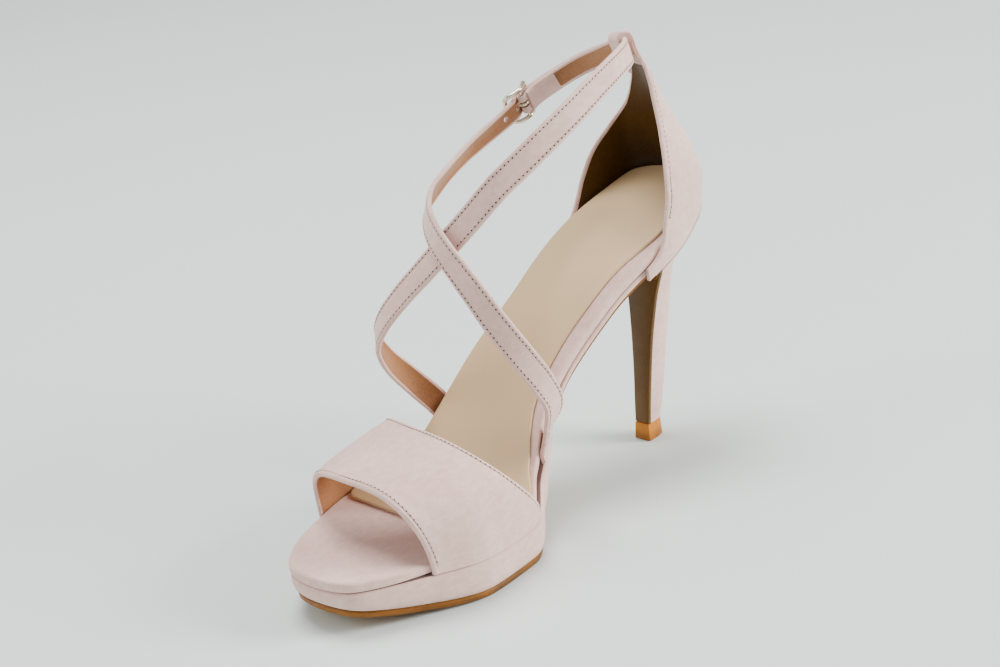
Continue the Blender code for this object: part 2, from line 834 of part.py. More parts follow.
def route_b(last, places, normal):
    """The route of the strap that goes through the buckle and lies over the other strap."""
    at, along, out, _ = buckle_axes(last)
    under, over, _ = buckle_levels()
    reach = BUCKLE_LENGTH / 2
    route = rise(last, "b") + [body_point(last, row) for row in ROUTE_B]
    for way in (-1.0, -0.75, -0.5, -0.25, 0.0, 0.25, 0.5, 0.75):
        level = under + (over - under) * ease(1 - abs(way) / WEAVE)
        route.append(at + along * way * reach + out * level)
    gone = np.linalg.norm(np.diff(places, axis=0), axis=1)[::-1].cumsum()[::-1]
    keep = (gone > reach) & (gone < reach + TIP)
    over_a = places[:-1][keep] + normal[:-1][keep] * (STRAP + GAP)
    return route + list(over_a[::-1][::2])


def build_straps(last):
    """Both crossing straps as one solid, with the chape round the bar and the holes."""
    at, along, out, up = buckle_axes(last)
    under, over, chape = buckle_levels()
    strap, places, normal, width = ribbon("cross_straps", last, "a", route_a(last))
    slot = PRONG + 2 * PRONG_PLAY
    notch = hole_cutter(at + out * chape, out, along, CHAPE_SLOT, slot)
    combine(strap, notch, "DIFFERENCE")
    top = at + out * over
    other = ribbon("strap_b", last, "b", route_b(last, places, normal), TIP_ROUND, top)[0]
    combine(strap, other, "UNION")

    fold = slice(-int(CHAPE / STRAP_STATION) - 2, -1)
    layer = SEAM - (STRAP + CHAPE_WALL) / 2
    rings = [
        strap_ring(p + n * layer, n, w, STRAP_END_WIDTH / 2 - SEAM, CHAPE_WALL / 2)
        for p, n, w in zip(places[fold], normal[fold], width[fold])
    ]
    combine(strap, tube("fold", rings, "suede"), "UNION")

    loop_width = (STRAP_END_WIDTH - slot) / 2 - SEAM
    hollow = BAR / 2 + GAP
    for side in (1, -1):
        middle = at + out * bow(0.0) + up * side * (slot + loop_width) / 2
        loop = sleeve("chape_loop", middle, up, along, hollow, hollow + CHAPE_WALL, loop_width)
        combine(strap, loop, "UNION")

    for place, level, length in ((-FREE_HOLE, under, HOLE), (-PRONG_HOLE, (under + over) / 2, SLOT)):
        punch = hole_cutter(at + along * place + out * level, out, along, length, HOLE)
        combine(strap, punch, "DIFFERENCE")
    return strap


def sleeve(name, centre, axis, across, inner, outer, length, look="suede"):
    """A short pipe round an axis, as a closed solid."""
    other = np.cross(axis, across)
    rings = []
    for radius, end in ((inner, -1), (outer, -1), (outer, 1), (inner, 1)):
        turn = np.linspace(0, 2 * math.pi, 20, endpoint=False)
        rings.append(
            [
                centre + axis * end * length / 2 + radius * (across * math.cos(a) + other * math.sin(a))
                for a in turn
            ]
        )
    return ring_tube(name, rings, look)


def hole_cutter(centre, axis, along, length, width):
    """An oval plug that punches a hole."""
    side = np.cross(axis, along)
    turn = np.linspace(0, 2 * math.pi, 12, endpoint=False)
    oval = [along * math.cos(a) * length / 2 + side * math.sin(a) * width / 2 for a in turn]
    rings = [[centre + axis * end + point for point in oval] for end in (-PUNCH_REACH, PUNCH_REACH)]
    return tube("punch", rings, "suede", shown=False)


def tunnel_line(last, here, out, up, step):
    """The middle of the tunnel's wall, from inside the counter's wall up and over the strap."""
    line = []
    for share in TUNNEL_BASE:
        height = COUNTER_HEIGHT * share
        scale = smooth(column(COUNTER_BACK, 0), column(COUNTER_BACK, 2), share)
        point, face = counter_point(last, -step / (COUNTER_WAY * scale), height)
        line.append((*(point - face * WALL / 2), last.z[0] + height))
    near = STRAP / 2 + GAP + TUNNEL_WALL / 2
    far = near + TUNNEL_SLACK
    half = STRAP_WIDTH / 2
    over = [(far, -0.2 * half), (far, 0.5 * half)]
    for turn in np.linspace(0, math.pi, 7)[1:-1]:
        reach = far if turn < math.pi / 2 else near
        over.append((reach * math.cos(turn), half + GAP - near / 2 + near * math.sin(turn)))
    over += [(-near, 0.7 * half), (-near, -0.7 * half)]
    return np.array(line + [here + out * a + up * b for a, b in over])


def build_tunnel(last, counter):
    """The counter's top, folded over the strap to hold it, joined to the heel cup."""
    places, run = spline(route_a(last), 1.0)
    tangent, normal, width = frame_along(last, places)
    up = np.where(width[:, 2:] > 0, width, -width)
    back, _ = counter_point(last, 0.0, COUNTER_HEIGHT)
    behind = places[:, 1] > 0.5 * last.half_length
    middle = run[behind][np.argmin(np.abs(places[behind, 0] - back[0]))]
    rings = []
    for step in np.linspace(-TUNNEL_WIDTH / 2, TUNNEL_WIDTH / 2, 6):
        here, n, w, t = (
            np.array([np.interp(middle + step, run, part[:, k]) for k in range(3)])
            for part in (places, normal, up, tangent)
        )
        line = tunnel_line(last, here, n, w, step)
        square = unit(np.cross(np.gradient(line, axis=0), t)) * TUNNEL_WALL / 2
        rings.append(np.concatenate([line + square, (line - square)[::-1]]))
    return combine(counter, tube("tunnel", rings, "suede"), "UNION")


def build_buckle(last):
    """The buckle's frame: a rounded oblong of wire, bowed outward, with its bar across."""
    at, along, out, up = buckle_axes(last)
    long, high = (BUCKLE_LENGTH - WIRE) / 2, (BUCKLE_HEIGHT - WIRE) / 2
    turn = np.linspace(0, 2 * math.pi, 32, endpoint=False)
    power = 2 / BUCKLE_SQUARENESS
    t = long * np.sign(np.cos(turn)) * np.abs(np.cos(turn)) ** power
    h = high * np.sign(np.sin(turn)) * np.abs(np.sin(turn)) ** power
    centres = np.array([at + along * a + up * b + out * bow(a) for a, b in zip(t, h)])
    course = unit(np.roll(centres, -1, axis=0) - np.roll(centres, 1, axis=0))
    rings = []
    for centre, ahead in zip(centres, course):
        side = unit(np.cross(ahead, out))
        lift = np.cross(side, ahead)
        rings.append(
            [
                centre + WIRE / 2 * (side * math.cos(a) + lift * math.sin(a))
                for a in np.linspace(0, 2 * math.pi, 8, endpoint=False)
            ]
        )
    frame = ring_tube("buckle_frame", rings, "metal")
    bar = [
        [
            at + out * (bow(0.0) + BAR / 2 * math.sin(a)) + along * BAR / 2 * math.cos(a) + up * end * high
            for a in np.linspace(0, 2 * math.pi, 8, endpoint=False)
        ]
        for end in (-1, 1)
    ]
    return combine(frame, tube("bar", bar, "metal"), "UNION")


def build_prong(last):
    """The prong: an eye round the bar and a pin through the strap to the frame's front."""
    at, along, out, up = buckle_axes(last)
    centre = at + out * bow(0.0)
    hollow = BAR / 2 + GAP
    eye = sleeve("buckle_prong", centre, up, along, hollow, hollow + EYE_WALL, EYE_WIDTH, "metal")
    reach = (BUCKLE_LENGTH - WIRE) / 2
    tip = at - along * (reach + PRONG_PAST) + out * (bow(reach) + WIRE / 2 + GAP + PRONG / 2)
    start = centre - along * (hollow + EYE_WALL / 2)
    rings = []
    for t in np.linspace(0, 1, 7):
        middle = start * (1 - t) + tip * t + out * PRONG_ARCH * math.sin(math.pi * t)
        size = PRONG / 2 * (1.0 if t < 0.9 else 0.75)
        rings.append(
            [
                middle + size * (up * math.cos(a) + out * math.sin(a))
                for a in np.linspace(0, 2 * math.pi, 8, endpoint=False)
            ]
        )
    return combine(eye, tube("pin", rings, "metal"), "UNION")


def d_loop(last, half, front, back, height):
    """A section of the heel's stem: flat in front, round behind."""
    near, far = last.y[0] - front, last.y[0] - back
    line = [(HEEL_SHIFT + half * t, near, height) for t in np.linspace(-1, 1, HEEL_FRONT_POINTS)]
    arc = []
    for a in np.linspace(0, math.pi, HEEL_BACK_POINTS)[1:-1]:
        c, s = math.cos(a), math.sin(a)
        arc.append(
            (HEEL_SHIFT + half * math.copysign(abs(c) ** 0.85, c), near + (far - near) * s**0.85, height)
        )
    return np.array(line + arc)


def seat_loop(last, outset, depth):
    """A section of the heel at the seat, along the edge of the insole board."""
    inset = max(PLATFORM_DRAFT, OUTSOLE_INSET + OUTSOLE * max(column(OUTSOLE_SIDE, 1)))
    corners = [
        last.rim(np.array([BREAST]), side, platform_outset(BREAST) - move)[1][0]
        for side in (1, -1)
        for move in (0.0, inset)
    ]
    front_y = max(corners) + GAP
    first = last.share_at(front_y)
    share = rows_between(first, 0.0, (HEEL_BACK_POINTS + 1) // 2)
    medial = np.stack(last.rim(share, 1, outset), -1)
    lateral = np.stack(last.rim(share, -1, outset), -1)[::-1][1:]
    ring = np.concatenate([medial, lateral])
    ring[0, 1] = ring[-1, 1] = front_y
    line = [(ring[-1] * (1 - t) + ring[0] * t) for t in np.linspace(0, 1, HEEL_FRONT_POINTS)]
    plan = np.concatenate([np.array(line), ring[1:-1]])
    return np.column_stack([plan, last.level(plan[:, 1], depth)])


def heel_loops(last):
    """The heel's outer loops from the seat down to the top piece."""
    seat = seat_loop(last, GAP + WALL, COUNTER_DEPTH + GAP)
    base = TOP_PIECE + GAP
    stem = [
        d_loop(
            last,
            TIP_HALF_WIDTH * half,
            TIP_SET * front,
            TIP_SET * back,
            base + (STEM_HEIGHT - base) * share,
        )
        for share, half, front, back in HEEL_SECTIONS
    ]
    high = stem[-1]
    flare = []
    for t in FLARE_LEVELS:
        loop = high + (seat - high) * t**FLARE
        loop[:, 2] = high[:, 2] + (seat[:, 2] - high[:, 2]) * t
        flare.append(loop)
    return flare, stem


def build_heel(last):
    """The covered stiletto heel, with a raised seat inside the counter's foot."""
    flare, stem = heel_loops(last)
    boss = [
        seat_loop(last, 0.0, BOARD + GAP),
        seat_loop(last, 0.0, COUNTER_DEPTH + GAP),
    ]
    return tube("heel", boss + flare + stem[::-1], "suede")


def build_cover(last):
    """The sole leather that runs on from the waist down the heel's front."""
    flare, stem = heel_loops(last)
    fronts = np.array([[loop[0], loop[HEEL_FRONT_POINTS - 1]] for loop in flare + stem[::-1]])
    line = fronts[:, 0, 1:]
    course = unit(np.gradient(line, axis=0))
    out = np.stack([course[:, 1], -course[:, 0]], -1)
    rings = []
    for (left, right), (out_y, out_z) in zip(fronts, out):
        near, far = (np.array([0.0, out_y, out_z]) * d for d in (GAP, GAP + COVER))
        rings.append([left + near, right + near, right + far, left + far])
    rings = np.array(rings)
    rings[0, :, 2] = last.under(rings[0, :, 1]) - GAP
    below = rings[:, :, 2].max(axis=1) < rings[0, :, 2].min() - GAP
    below[0] = True
    return tube("breast_cover", rings[below], "sole")


def build_top_piece(last):
    """The small lift under the heel's tip, which touches the ground."""
    _, half, front, back = HEEL_SECTIONS[0]
    spread, bevel = TOP_PIECE_SPREAD, TOP_PIECE_BEVEL
    steps = ((spread - bevel, 0.0), (spread, bevel), (0.0, TOP_PIECE - bevel), (-bevel, TOP_PIECE))
    rings = [
        d_loop(
            last,
            TIP_HALF_WIDTH * half + grow,
            TIP_SET * front + COVER + GAP + grow,
            TIP_SET * back - grow,
            z,
        )
        for grow, z in steps
    ]
    return tube("top_piece", rings, "sole")


def stand(things):
    """Hangs the pieces on one empty and puts the middle of their box over the world's origin."""
    bpy.context.view_layer.update()
    corners = np.array([v.co for thing in things for v in thing.data.vertices])
    shoe = bpy.data.objects.new("sandal", None)
    bpy.context.collection.objects.link(shoe)
    for thing in things:
        thing.parent = shoe
    middle = (corners.min(axis=0) + corners.max(axis=0)) / 2
    shoe.location = (-middle[0], -middle[1], 0.0)


def main():
    """Builds the sandal."""
    for thing in list(bpy.data.objects):
        bpy.data.objects.remove(thing)
    last = Last()
    things = [
        build_outsole(last),
        build_platform(last),
        build_board(last),
        build_sock(last),
        build_vamp(last),
        build_tunnel(last, build_counter(last)),
        build_straps(last),
        build_buckle(last),
        build_prong(last),
        build_heel(last),
        build_cover(last),
        build_top_piece(last),
    ]
    stand(things)


main()
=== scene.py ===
"""The looks of a strappy platform sandal with a stiletto heel, for the right foot.

The frame's solids give the place and the size. Each sub-assembly is a class that repeats the solids'
driving sizes in millimetres, builds its surface finely enough to be seen up close, and dresses it in
suede, lining, sole leather or metal. The toe points to -Y and the inner (medial) side to +X.
"""

import logging
import math
from collections.abc import Callable, Sequence
from dataclasses import dataclass, field
from enum import Enum

import bmesh
import bpy
import numpy as np
from mathutils import Matrix, Vector

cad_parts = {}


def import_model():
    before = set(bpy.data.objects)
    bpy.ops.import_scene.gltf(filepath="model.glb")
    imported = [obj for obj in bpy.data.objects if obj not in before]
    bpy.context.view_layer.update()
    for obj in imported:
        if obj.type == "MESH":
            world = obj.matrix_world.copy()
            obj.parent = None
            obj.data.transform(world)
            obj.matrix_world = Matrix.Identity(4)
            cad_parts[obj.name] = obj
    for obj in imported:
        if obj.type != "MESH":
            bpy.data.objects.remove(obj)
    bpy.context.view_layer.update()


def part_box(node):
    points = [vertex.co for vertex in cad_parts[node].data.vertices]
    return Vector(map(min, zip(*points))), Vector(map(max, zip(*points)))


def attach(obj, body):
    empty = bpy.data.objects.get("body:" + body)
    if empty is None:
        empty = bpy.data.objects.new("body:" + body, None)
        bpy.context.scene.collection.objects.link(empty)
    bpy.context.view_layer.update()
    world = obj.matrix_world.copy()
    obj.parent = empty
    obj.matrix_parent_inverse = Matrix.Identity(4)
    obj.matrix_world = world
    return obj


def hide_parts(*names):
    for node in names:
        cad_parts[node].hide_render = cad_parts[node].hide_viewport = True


Array = np.ndarray
Rows = tuple[tuple[float, ...], ...]
Socket = bpy.types.NodeSocket
LOG = logging.getLogger("sandal")
MM = 0.001
GAP = 0.3


class Side(Enum):
    """The two sides of the foot."""

    MEDIAL = 1
    LATERAL = -1


class Edge(Enum):
    """The two free edges of the vamp."""

    FRONT = 0
    REAR = 1


def unit(vectors: Array) -> Array:
    """Vectors of length one."""
    return vectors / np.linalg.norm(vectors, axis=-1, keepdims=True)


def ease(t: Array) -> Array:
    """A soft step from 0 to 1."""
    t = np.clip(t, 0.0, 1.0)
    return t * t * (3 - 2 * t)


def even_turn(share: Array) -> Array:
    """The share of the length as an even turn, which crowds the rows at heel and toe."""
    return np.arccos(np.clip(1 - 2 * np.asarray(share, float), -1, 1)) / math.pi


def shares_between(first: float, end: float, count: int) -> Array:
    """Shares of the length, crowded at heel and toe."""
    turn = np.linspace(float(even_turn(first)), float(even_turn(end)), count)
    return (1 - np.cos(math.pi * turn)) / 2


@dataclass(frozen=True)
class Table:
    """A short table whose first column is the key of the others."""

    rows: Rows

    def column(self, index: int) -> Array:
        """One column of the table."""
        return np.array([row[index] for row in self.rows], float)

    def straight(self, at: Array, index: int = 1) -> Array:
        """Reads a column with straight lines between the rows."""
        return np.interp(at, self.column(0), self.column(index))

    def smooth(self, at: Array, index: int = 1, key: Callable[[Array], Array] = np.asarray) -> Array:
        """Reads a column on a smooth curve that stays between neighbouring rows.

        Args:
            at: where to read, in the keys' own measure.
            index: the column.
            key: how the keys are bent before they are used.

        Returns:
            The values at those places.
        """
        keys, values = key(self.column(0)), self.column(index)
        step = np.diff(keys)
        rise = np.diff(values) / step
        tangent = np.concatenate([rise[:1], np.zeros(len(keys) - 2), rise[-1:]])
        for i in range(1, len(keys) - 1):
            if rise[i - 1] * rise[i] > 0:
                before, after = step[i - 1] + 2 * step[i], 2 * step[i - 1] + step[i]
                tangent[i] = (before + after) / (before / rise[i - 1] + after / rise[i])
        at = np.clip(at, keys[0], keys[-1])
        i = np.clip(np.searchsorted(keys, at, side="right") - 1, 0, len(keys) - 2)
        t = (at - keys[i]) / step[i]
        low = values[i] * (1 + 2 * t) * (1 - t) ** 2 + tangent[i] * step[i] * t * (1 - t) ** 2
        high = values[i + 1] * t * t * (3 - 2 * t) + tangent[i + 1] * step[i] * t * t * (t - 1)
        return low + high


@dataclass(frozen=True)
class Stack:
    """The layers under the foot and where the sole meets the ground."""

    board: float = 3.8
    platform: float = 12.2
    outsole: float = 2.1
    waist_sole: float = 1.3
    waist_stack: float = 8.3
    toe_spring: float = 7.6
    spring_start: float = 0.75
    ground_start: float = 0.65
    waist_end: float = 0.46
    breast: float = 0.215
    board_step: float = 0.8
    board_inset: Table = Table(((0, 0), (0.46, 0), (0.53, 1), (0.86, 1), (0.92, 0), (1, 0)))
    platform_step: float = 1.4
    platform_edge: Table = Table(((0, -0.3), (0.4, -0.15), (0.52, 1), (0.86, 1), (0.93, 0), (1, -0.4)))


@dataclass
class Last:
    """The insole's top, from the heel back to the toe tip, and what lies under it."""

    stack: Stack = Stack()
    length: float = 239.8
    ball_width: float = 76.0
    steepest: float = 48.8
    toe_shift: float = 5.8
    ball_share: float = 0.70
    slopes: Table = Table(
        (
            # share of the length, share of the steepest slope down to the toe
            (0.00, 0.390),
            (0.15, 0.414),
            (0.30, 0.744),
            (0.44, 0.906),
            (0.55, 1.000),
            (0.64, 0.369),
            (0.72, -0.012),
            (1.00, -0.033),
        )
    )
    plan: Table = Table(
        (
            # share of the length, medial and lateral half width as shares of the ball width
            (0.000, 0.000, 0.000),
            (0.030, 0.200, 0.228),
            (0.080, 0.286, 0.271),
            (0.170, 0.346, 0.314),
            (0.300, 0.264, 0.326),
            (0.450, 0.200, 0.405),
            (0.580, 0.296, 0.482),
            (0.680, 0.492, 0.512),
            (0.780, 0.517, 0.476),
            (0.880, 0.400, 0.384),
            (0.950, 0.293, 0.278),
            (0.985, 0.199, 0.186),
            (1.000, 0.000, 0.000),
        )
    )
    rows: int = 721
    origin: Array = field(default_factory=lambda: np.zeros(3))

    def __post_init__(self) -> None:
        """Works the profile and the plan out."""
        self.turn = np.linspace(0.0, 1.0, self.rows)
        self.share = (1 - np.cos(math.pi * self.turn)) / 2
        self.slope = np.radians(self.steepest * self.slopes.smooth(self.share))
        run, drop = self._along(np.cos(self.slope)), self._along(np.sin(self.slope))
        ball = self.stack.outsole + self.stack.platform + self.stack.board + 2 * GAP
        self.half_length = run[-1] / 2
        self.y = self.half_length - run
        self.z = ball + np.interp(self.ball_share, self.share, drop) - drop
        shift = self.toe_shift * np.clip((self.share - 0.6) / 0.4, 0, 1) ** 2
        widths = [self.ball_width * self.plan.smooth(self.turn, k, even_turn) for k in (1, 2)]
        self.edge = {Side.MEDIAL: shift + widths[0], Side.LATERAL: shift - widths[1]}

    def _along(self, rate: Array) -> Array:
        """The running sum of a rate along the foot."""
        step = np.diff(self.share) * self.length
        return np.concatenate([[0.0], np.cumsum((rate[1:] + rate[:-1]) / 2 * step)])

    def normal(self, side: Side) -> Array:
        """Outward normals in plan of one side's edge."""
        out = unit(np.stack([-np.gradient(self.y), np.gradient(self.edge[side])], -1)) * side.value
        out[0], out[-1] = (0.0, 1.0), (0.0, -1.0)
        return out

    def rim(self, share: Array, side: Side, outset: Array) -> tuple[Array, Array]:
        """Plan points of one side's edge, moved outward.

        Args:
            share: shares of the length.
            side: the side of the foot.
            outset: how far the points lie outside the edge.

        Returns:
            Their x and y.
        """
        turn, out = even_turn(share), self.normal(side)
        x = np.interp(turn, self.turn, self.edge[side]) + outset * np.interp(turn, self.turn, out[:, 0])
        y = np.interp(turn, self.turn, self.y) + outset * np.interp(turn, self.turn, out[:, 1])
        return x, y

    def share_at(self, y: Array) -> Array:
        """The share of the length at a place along the foot."""
        return np.interp(-np.asarray(y, float), -self.y, self.share)

    def slope_at(self, y: Array) -> Array:
        """The slope of the insole at a place along the foot."""
        return np.interp(-np.asarray(y, float), -self.y, self.slope)

    def level(self, y: Array, depth: Array) -> Array:
        """Height of a surface that lies some depth under the top, measured square to it."""
        y = np.asarray(y, float)
        past = np.clip(y - self.y[0], 0, None) * math.tan(self.slope[0])
        before = np.clip(self.y[-1] - y, 0, None) * math.tan(self.slope[-1])
        return np.interp(-y, -self.y, self.z) + past - before - depth / np.cos(self.slope_at(y))

    def grounded(self, y: Array) -> Array:
        """How far the underside has come down from the waist to the ground, 0 to 1."""
        stack = self.stack
        return ease((self.share_at(y) - stack.waist_end) / (stack.ground_start - stack.waist_end))

    def under(self, y: Array) -> Array:
        """Height of the outsole's underside."""
        start = self.stack.spring_start
        rise = np.clip((self.share_at(y) - start) / (1 - start), 0, 1) ** 2
        blend = self.grounded(y)
        return self.level(y, self.stack.waist_stack) * (1 - blend) + self.stack.toe_spring * rise * blend

    def sole_top(self, y: Array) -> Array:
        """Height of the outsole's upper face."""
        blend = self.grounded(y)
        waist = self.stack.waist_sole / np.cos(self.slope_at(y))
        return self.under(y) + self.stack.outsole * blend + waist * (1 - blend)

    def board_inset(self, share: Array) -> Array:
        """How far the board's edge lies inside the plan."""
        return self.stack.board_step * self.stack.board_inset.straight(share)

    def platform_outset(self, share: Array) -> Array:
        """How far the platform's edge lies outside the plan."""
        return self.stack.platform_step * self.stack.platform_edge.straight(share)

    def settle(self) -> None:
        """Finds where the frame has this last, from the box of the insole board."""
        share = shares_between(0.0, 1.0, 48)
        corners = []
        for side in Side:
            x, y = self.rim(share, side, -self.board_inset(share))
            corners.append(np.stack([x, y], -1))
        low, high = (fold(np.concatenate(corners), axis=0) for fold in (np.min, np.max))
        box = [np.array(corner)[:2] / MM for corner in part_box("insole_board")]
        self.origin = np.append((box[0] + box[1] - low - high) / 2, 0.0)


@dataclass
class Sculpt:
    """Collects the points and faces of one piece, each face with the number of its finish."""

    name: str
    origin: Array
    points: list[Array] = field(default_factory=list)
    faces: list[tuple[int, ...]] = field(default_factory=list)
    looks: list[int] = field(default_factory=list)
    count: int = 0

    def grid(self, grid: Array, look: int | Array = 0, loop: bool = False) -> None:
        """Adds a net of quads.

        Args:
            grid: points as rows by columns by three, in millimetres.
            look: the finish of all faces, or of each.
            loop: whether the last column joins the first.
        """
        rows, cols = grid.shape[:2]
        index = self.count + np.arange(rows * cols).reshape(rows, cols)
        if loop:
            index = np.concatenate([index, index[:, :1]], axis=1)
        quads = np.stack([index[:-1, :-1], index[:-1, 1:], index[1:, 1:], index[1:, :-1]], -1)
        self.faces += [tuple(q) for q in quads.reshape(-1, 4).tolist()]
        self.looks += np.broadcast_to(look, quads.shape[:2]).ravel().astype(int).tolist()
        self.points.append(grid.reshape(-1, 3))
        self.count += rows * cols

    def cap(self, ring: Array, look: int = 0) -> None:
        """Closes a ring with a fan round its middle."""
        middle = ring.mean(axis=0)
        self.grid(np.stack([ring, np.broadcast_to(middle, ring.shape)]), look, loop=True)

    def tube(self, rings: Array, look: int | Array = 0) -> None:
        """Adds a net round a row of rings, closed at both ends."""
        self.grid(rings, look, loop=True)
        first = int(np.ravel(look)[0])
        self.cap(rings[0], first)
        self.cap(rings[-1], first)

    def finish(self, finishes: Sequence[bpy.types.Material], sharp: float = 50.0) -> bpy.types.Object:
        """Makes the object.

        Args:
            finishes: the materials that the faces' numbers stand for.
            sharp: the angle past which an edge shows, in degrees.

        Returns:
            The object, welded, with its faces pointing out.
        """
        mesh = bpy.data.meshes.new(self.name)
        mesh.from_pydata(((np.concatenate(self.points) + self.origin) * MM).tolist(), [], self.faces)
        mesh.polygons.foreach_set("material_index", self.looks)
        shape = bmesh.new()
        shape.from_mesh(mesh)
        bmesh.ops.remove_doubles(shape, verts=shape.verts, dist=0.004 * MM)
        bmesh.ops.dissolve_degenerate(shape, edges=shape.edges, dist=0.002 * MM)
        bmesh.ops.recalc_face_normals(shape, faces=shape.faces)
        shape.to_mesh(mesh)
        shape.free()
        for material in finishes:
            mesh.materials.append(material)
        mesh.shade_smooth()
        mesh.set_sharp_from_angle(angle=math.radians(sharp))
        thing = bpy.data.objects.new(self.name, mesh)
        bpy.context.scene.collection.objects.link(thing)
        return thing


def dress(thing: bpy.types.Object, slot: str, *nodes: str) -> bpy.types.Object:
    """Hangs a piece on the frame.

    Args:
        thing: the piece.
        slot: the record's material slot, which is only named in the log.
        nodes: the frame's nodes that it stands for.

    Returns:
        The piece.
    """
    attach(thing, "root")
    if nodes:
        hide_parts(*nodes)
    faces = sum(len(p.vertices) - 2 for p in thing.data.polygons)
    stood = ", ".join(nodes) or "none"
    LOG.info("%s: %d triangles, finish %s, stands for %s", thing.name, faces, slot, stood)
    return thing


class Wiring:
    """Adds nodes to a tree and joins them."""

    def __init__(self, tree: bpy.types.NodeTree) -> None:
        """Keeps the tree."""
        self.tree = tree

    def node(self, kind: str, **values: object) -> bpy.types.Node:
        """Adds a node and sets its options."""
        made = self.tree.nodes.new(kind)
        for name, value in values.items():
            setattr(made, name, value)
        return made

    def feed(self, socket: Socket, value: Socket | float | Sequence[float]) -> None:
        """Joins a socket to another, or sets its value."""
        if isinstance(value, bpy.types.NodeSocket):
            self.tree.links.new(value, socket)
        else:
            socket.default_value = value

    def blend(self, factor: Socket | float, low: object, high: object, mode: str = "MIX") -> Socket:
        """Mixes two colours."""
        made = self.node("ShaderNodeMix", data_type="RGBA", blend_type=mode)
        for socket, value in ((made.inputs[0], factor), (made.inputs[6], low), (made.inputs[7], high)):
            self.feed(socket, value)
        return made.outputs[2]

    def sum(self, mode: str, first: Socket | float, second: Socket | float) -> Socket:
        """One step of arithmetic."""
        made = self.node("ShaderNodeMath", operation=mode)
        self.feed(made.inputs[0], first)
        self.feed(made.inputs[1], second)
        return made.outputs[0]

    def span(
        self, value: Socket, low: float, high: float, to_low: float = 0.0, to_high: float = 1.0
    ) -> Socket:
        """Maps a range of values to another one and clips it.

        Args:
            value: the value.
            low: the start of its range.
            high: the end of its range.
            to_low: what the start becomes.
            to_high: what the end becomes.

        Returns:
            The mapped value.
        """
        made = self.node("ShaderNodeMapRange", interpolation_type="SMOOTHSTEP")
        for socket, number in zip(made.inputs, (value, low, high, to_low, to_high)):
            self.feed(socket, number)
        return made.outputs[0]

    def place(self, stretch: Sequence[float] = (1.0, 1.0, 1.0)) -> Socket:
        """The place on the object, in metres, stretched along its axes."""
        spot = self.node("ShaderNodeTexCoord").outputs["Object"]
        made = self.node("ShaderNodeMapping")
        self.feed(made.inputs["Vector"], spot)
        made.inputs["Scale"].default_value = stretch
        return made.outputs[0]

    def noise(self, place: Socket, scale: Socket | float, detail: float = 3.0, rough: float = 0.55) -> Socket:
        """Soft random values."""
        made = self.node("ShaderNodeTexNoise")
        self.feed(made.inputs["Vector"], place)
        self.feed(made.inputs["Scale"], scale)
        made.inputs["Detail"].default_value = detail
        made.inputs["Roughness"].default_value = rough
        return made.outputs[0]

    def cells(self, place: Socket, scale: Socket | float) -> Socket:
        """Distance to the middle of random cells."""
        made = self.node("ShaderNodeTexVoronoi", feature="F1")
        self.feed(made.inputs["Vector"], place)
        self.feed(made.inputs["Scale"], scale)
        return made.outputs["Distance"]


def new_group(
    name: str, inputs: Sequence[tuple[str, str, object]], outputs: Sequence[tuple[str, str]]
) -> tuple:
    """Starts a node group with named sockets.

    Args:
        name: the group's name.
        inputs: name, kind and default of each input.
        outputs: name and kind of each output.

    Returns:
        The wiring, the inputs by name and the outputs by name.
    """
    tree = bpy.data.node_groups.new(name, "ShaderNodeTree")
    for label, kind, value in inputs:
        made = tree.interface.new_socket(name=label, in_out="INPUT", socket_type=f"NodeSocket{kind}")
        made.default_value = value
    for label, kind in outputs:
        tree.interface.new_socket(name=label, in_out="OUTPUT", socket_type=f"NodeSocket{kind}")
    wiring = Wiring(tree)
    start, end = wiring.node("NodeGroupInput"), wiring.node("NodeGroupOutput")
    return wiring, start.outputs, end.inputs


def nap_group() -> bpy.types.NodeTree:
    """The nap of suede: broad brushed patches, short strokes and fine fibres."""
    wiring, start, end = new_group(
        "nap",
        [
            ("Colour", "Color", (0.7, 0.6, 0.57, 1)),
            ("Shade", "Color", (0.5, 0.4, 0.38, 1)),
            ("Patch", "Float", 50.0),
            ("Fibre", "Float", 3200.0),
        ],
        [("Colour", "Color"), ("Roughness", "Float"), ("Height", "Float")],
    )
    place = wiring.place()
    patch = wiring.span(wiring.noise(place, start["Patch"], 2.0), 0.34, 0.68)
    stroke = wiring.span(wiring.noise(wiring.place((1.0, 0.5, 1.0)), 480.0, 4.0, 0.7), 0.3, 0.72)
    fibre = wiring.noise(place, start["Fibre"], 2.0, 0.7)
    tone = wiring.sum("ADD", wiring.sum("MULTIPLY", patch, 0.2), wiring.sum("MULTIPLY", stroke, 0.42))
    tone = wiring.sum("ADD", tone, wiring.sum("MULTIPLY", fibre, 0.5))
    wiring.feed(end["Colour"], wiring.blend(tone, start["Shade"], start["Colour"]))
    wiring.feed(end["Roughness"], wiring.span(fibre, 0.3, 0.7, 0.84, 0.98))
    height = wiring.sum("ADD", wiring.sum("MULTIPLY", fibre, 0.7), wiring.sum("MULTIPLY", stroke, 0.5))
    wiring.feed(end["Height"], height)
    return wiring.tree


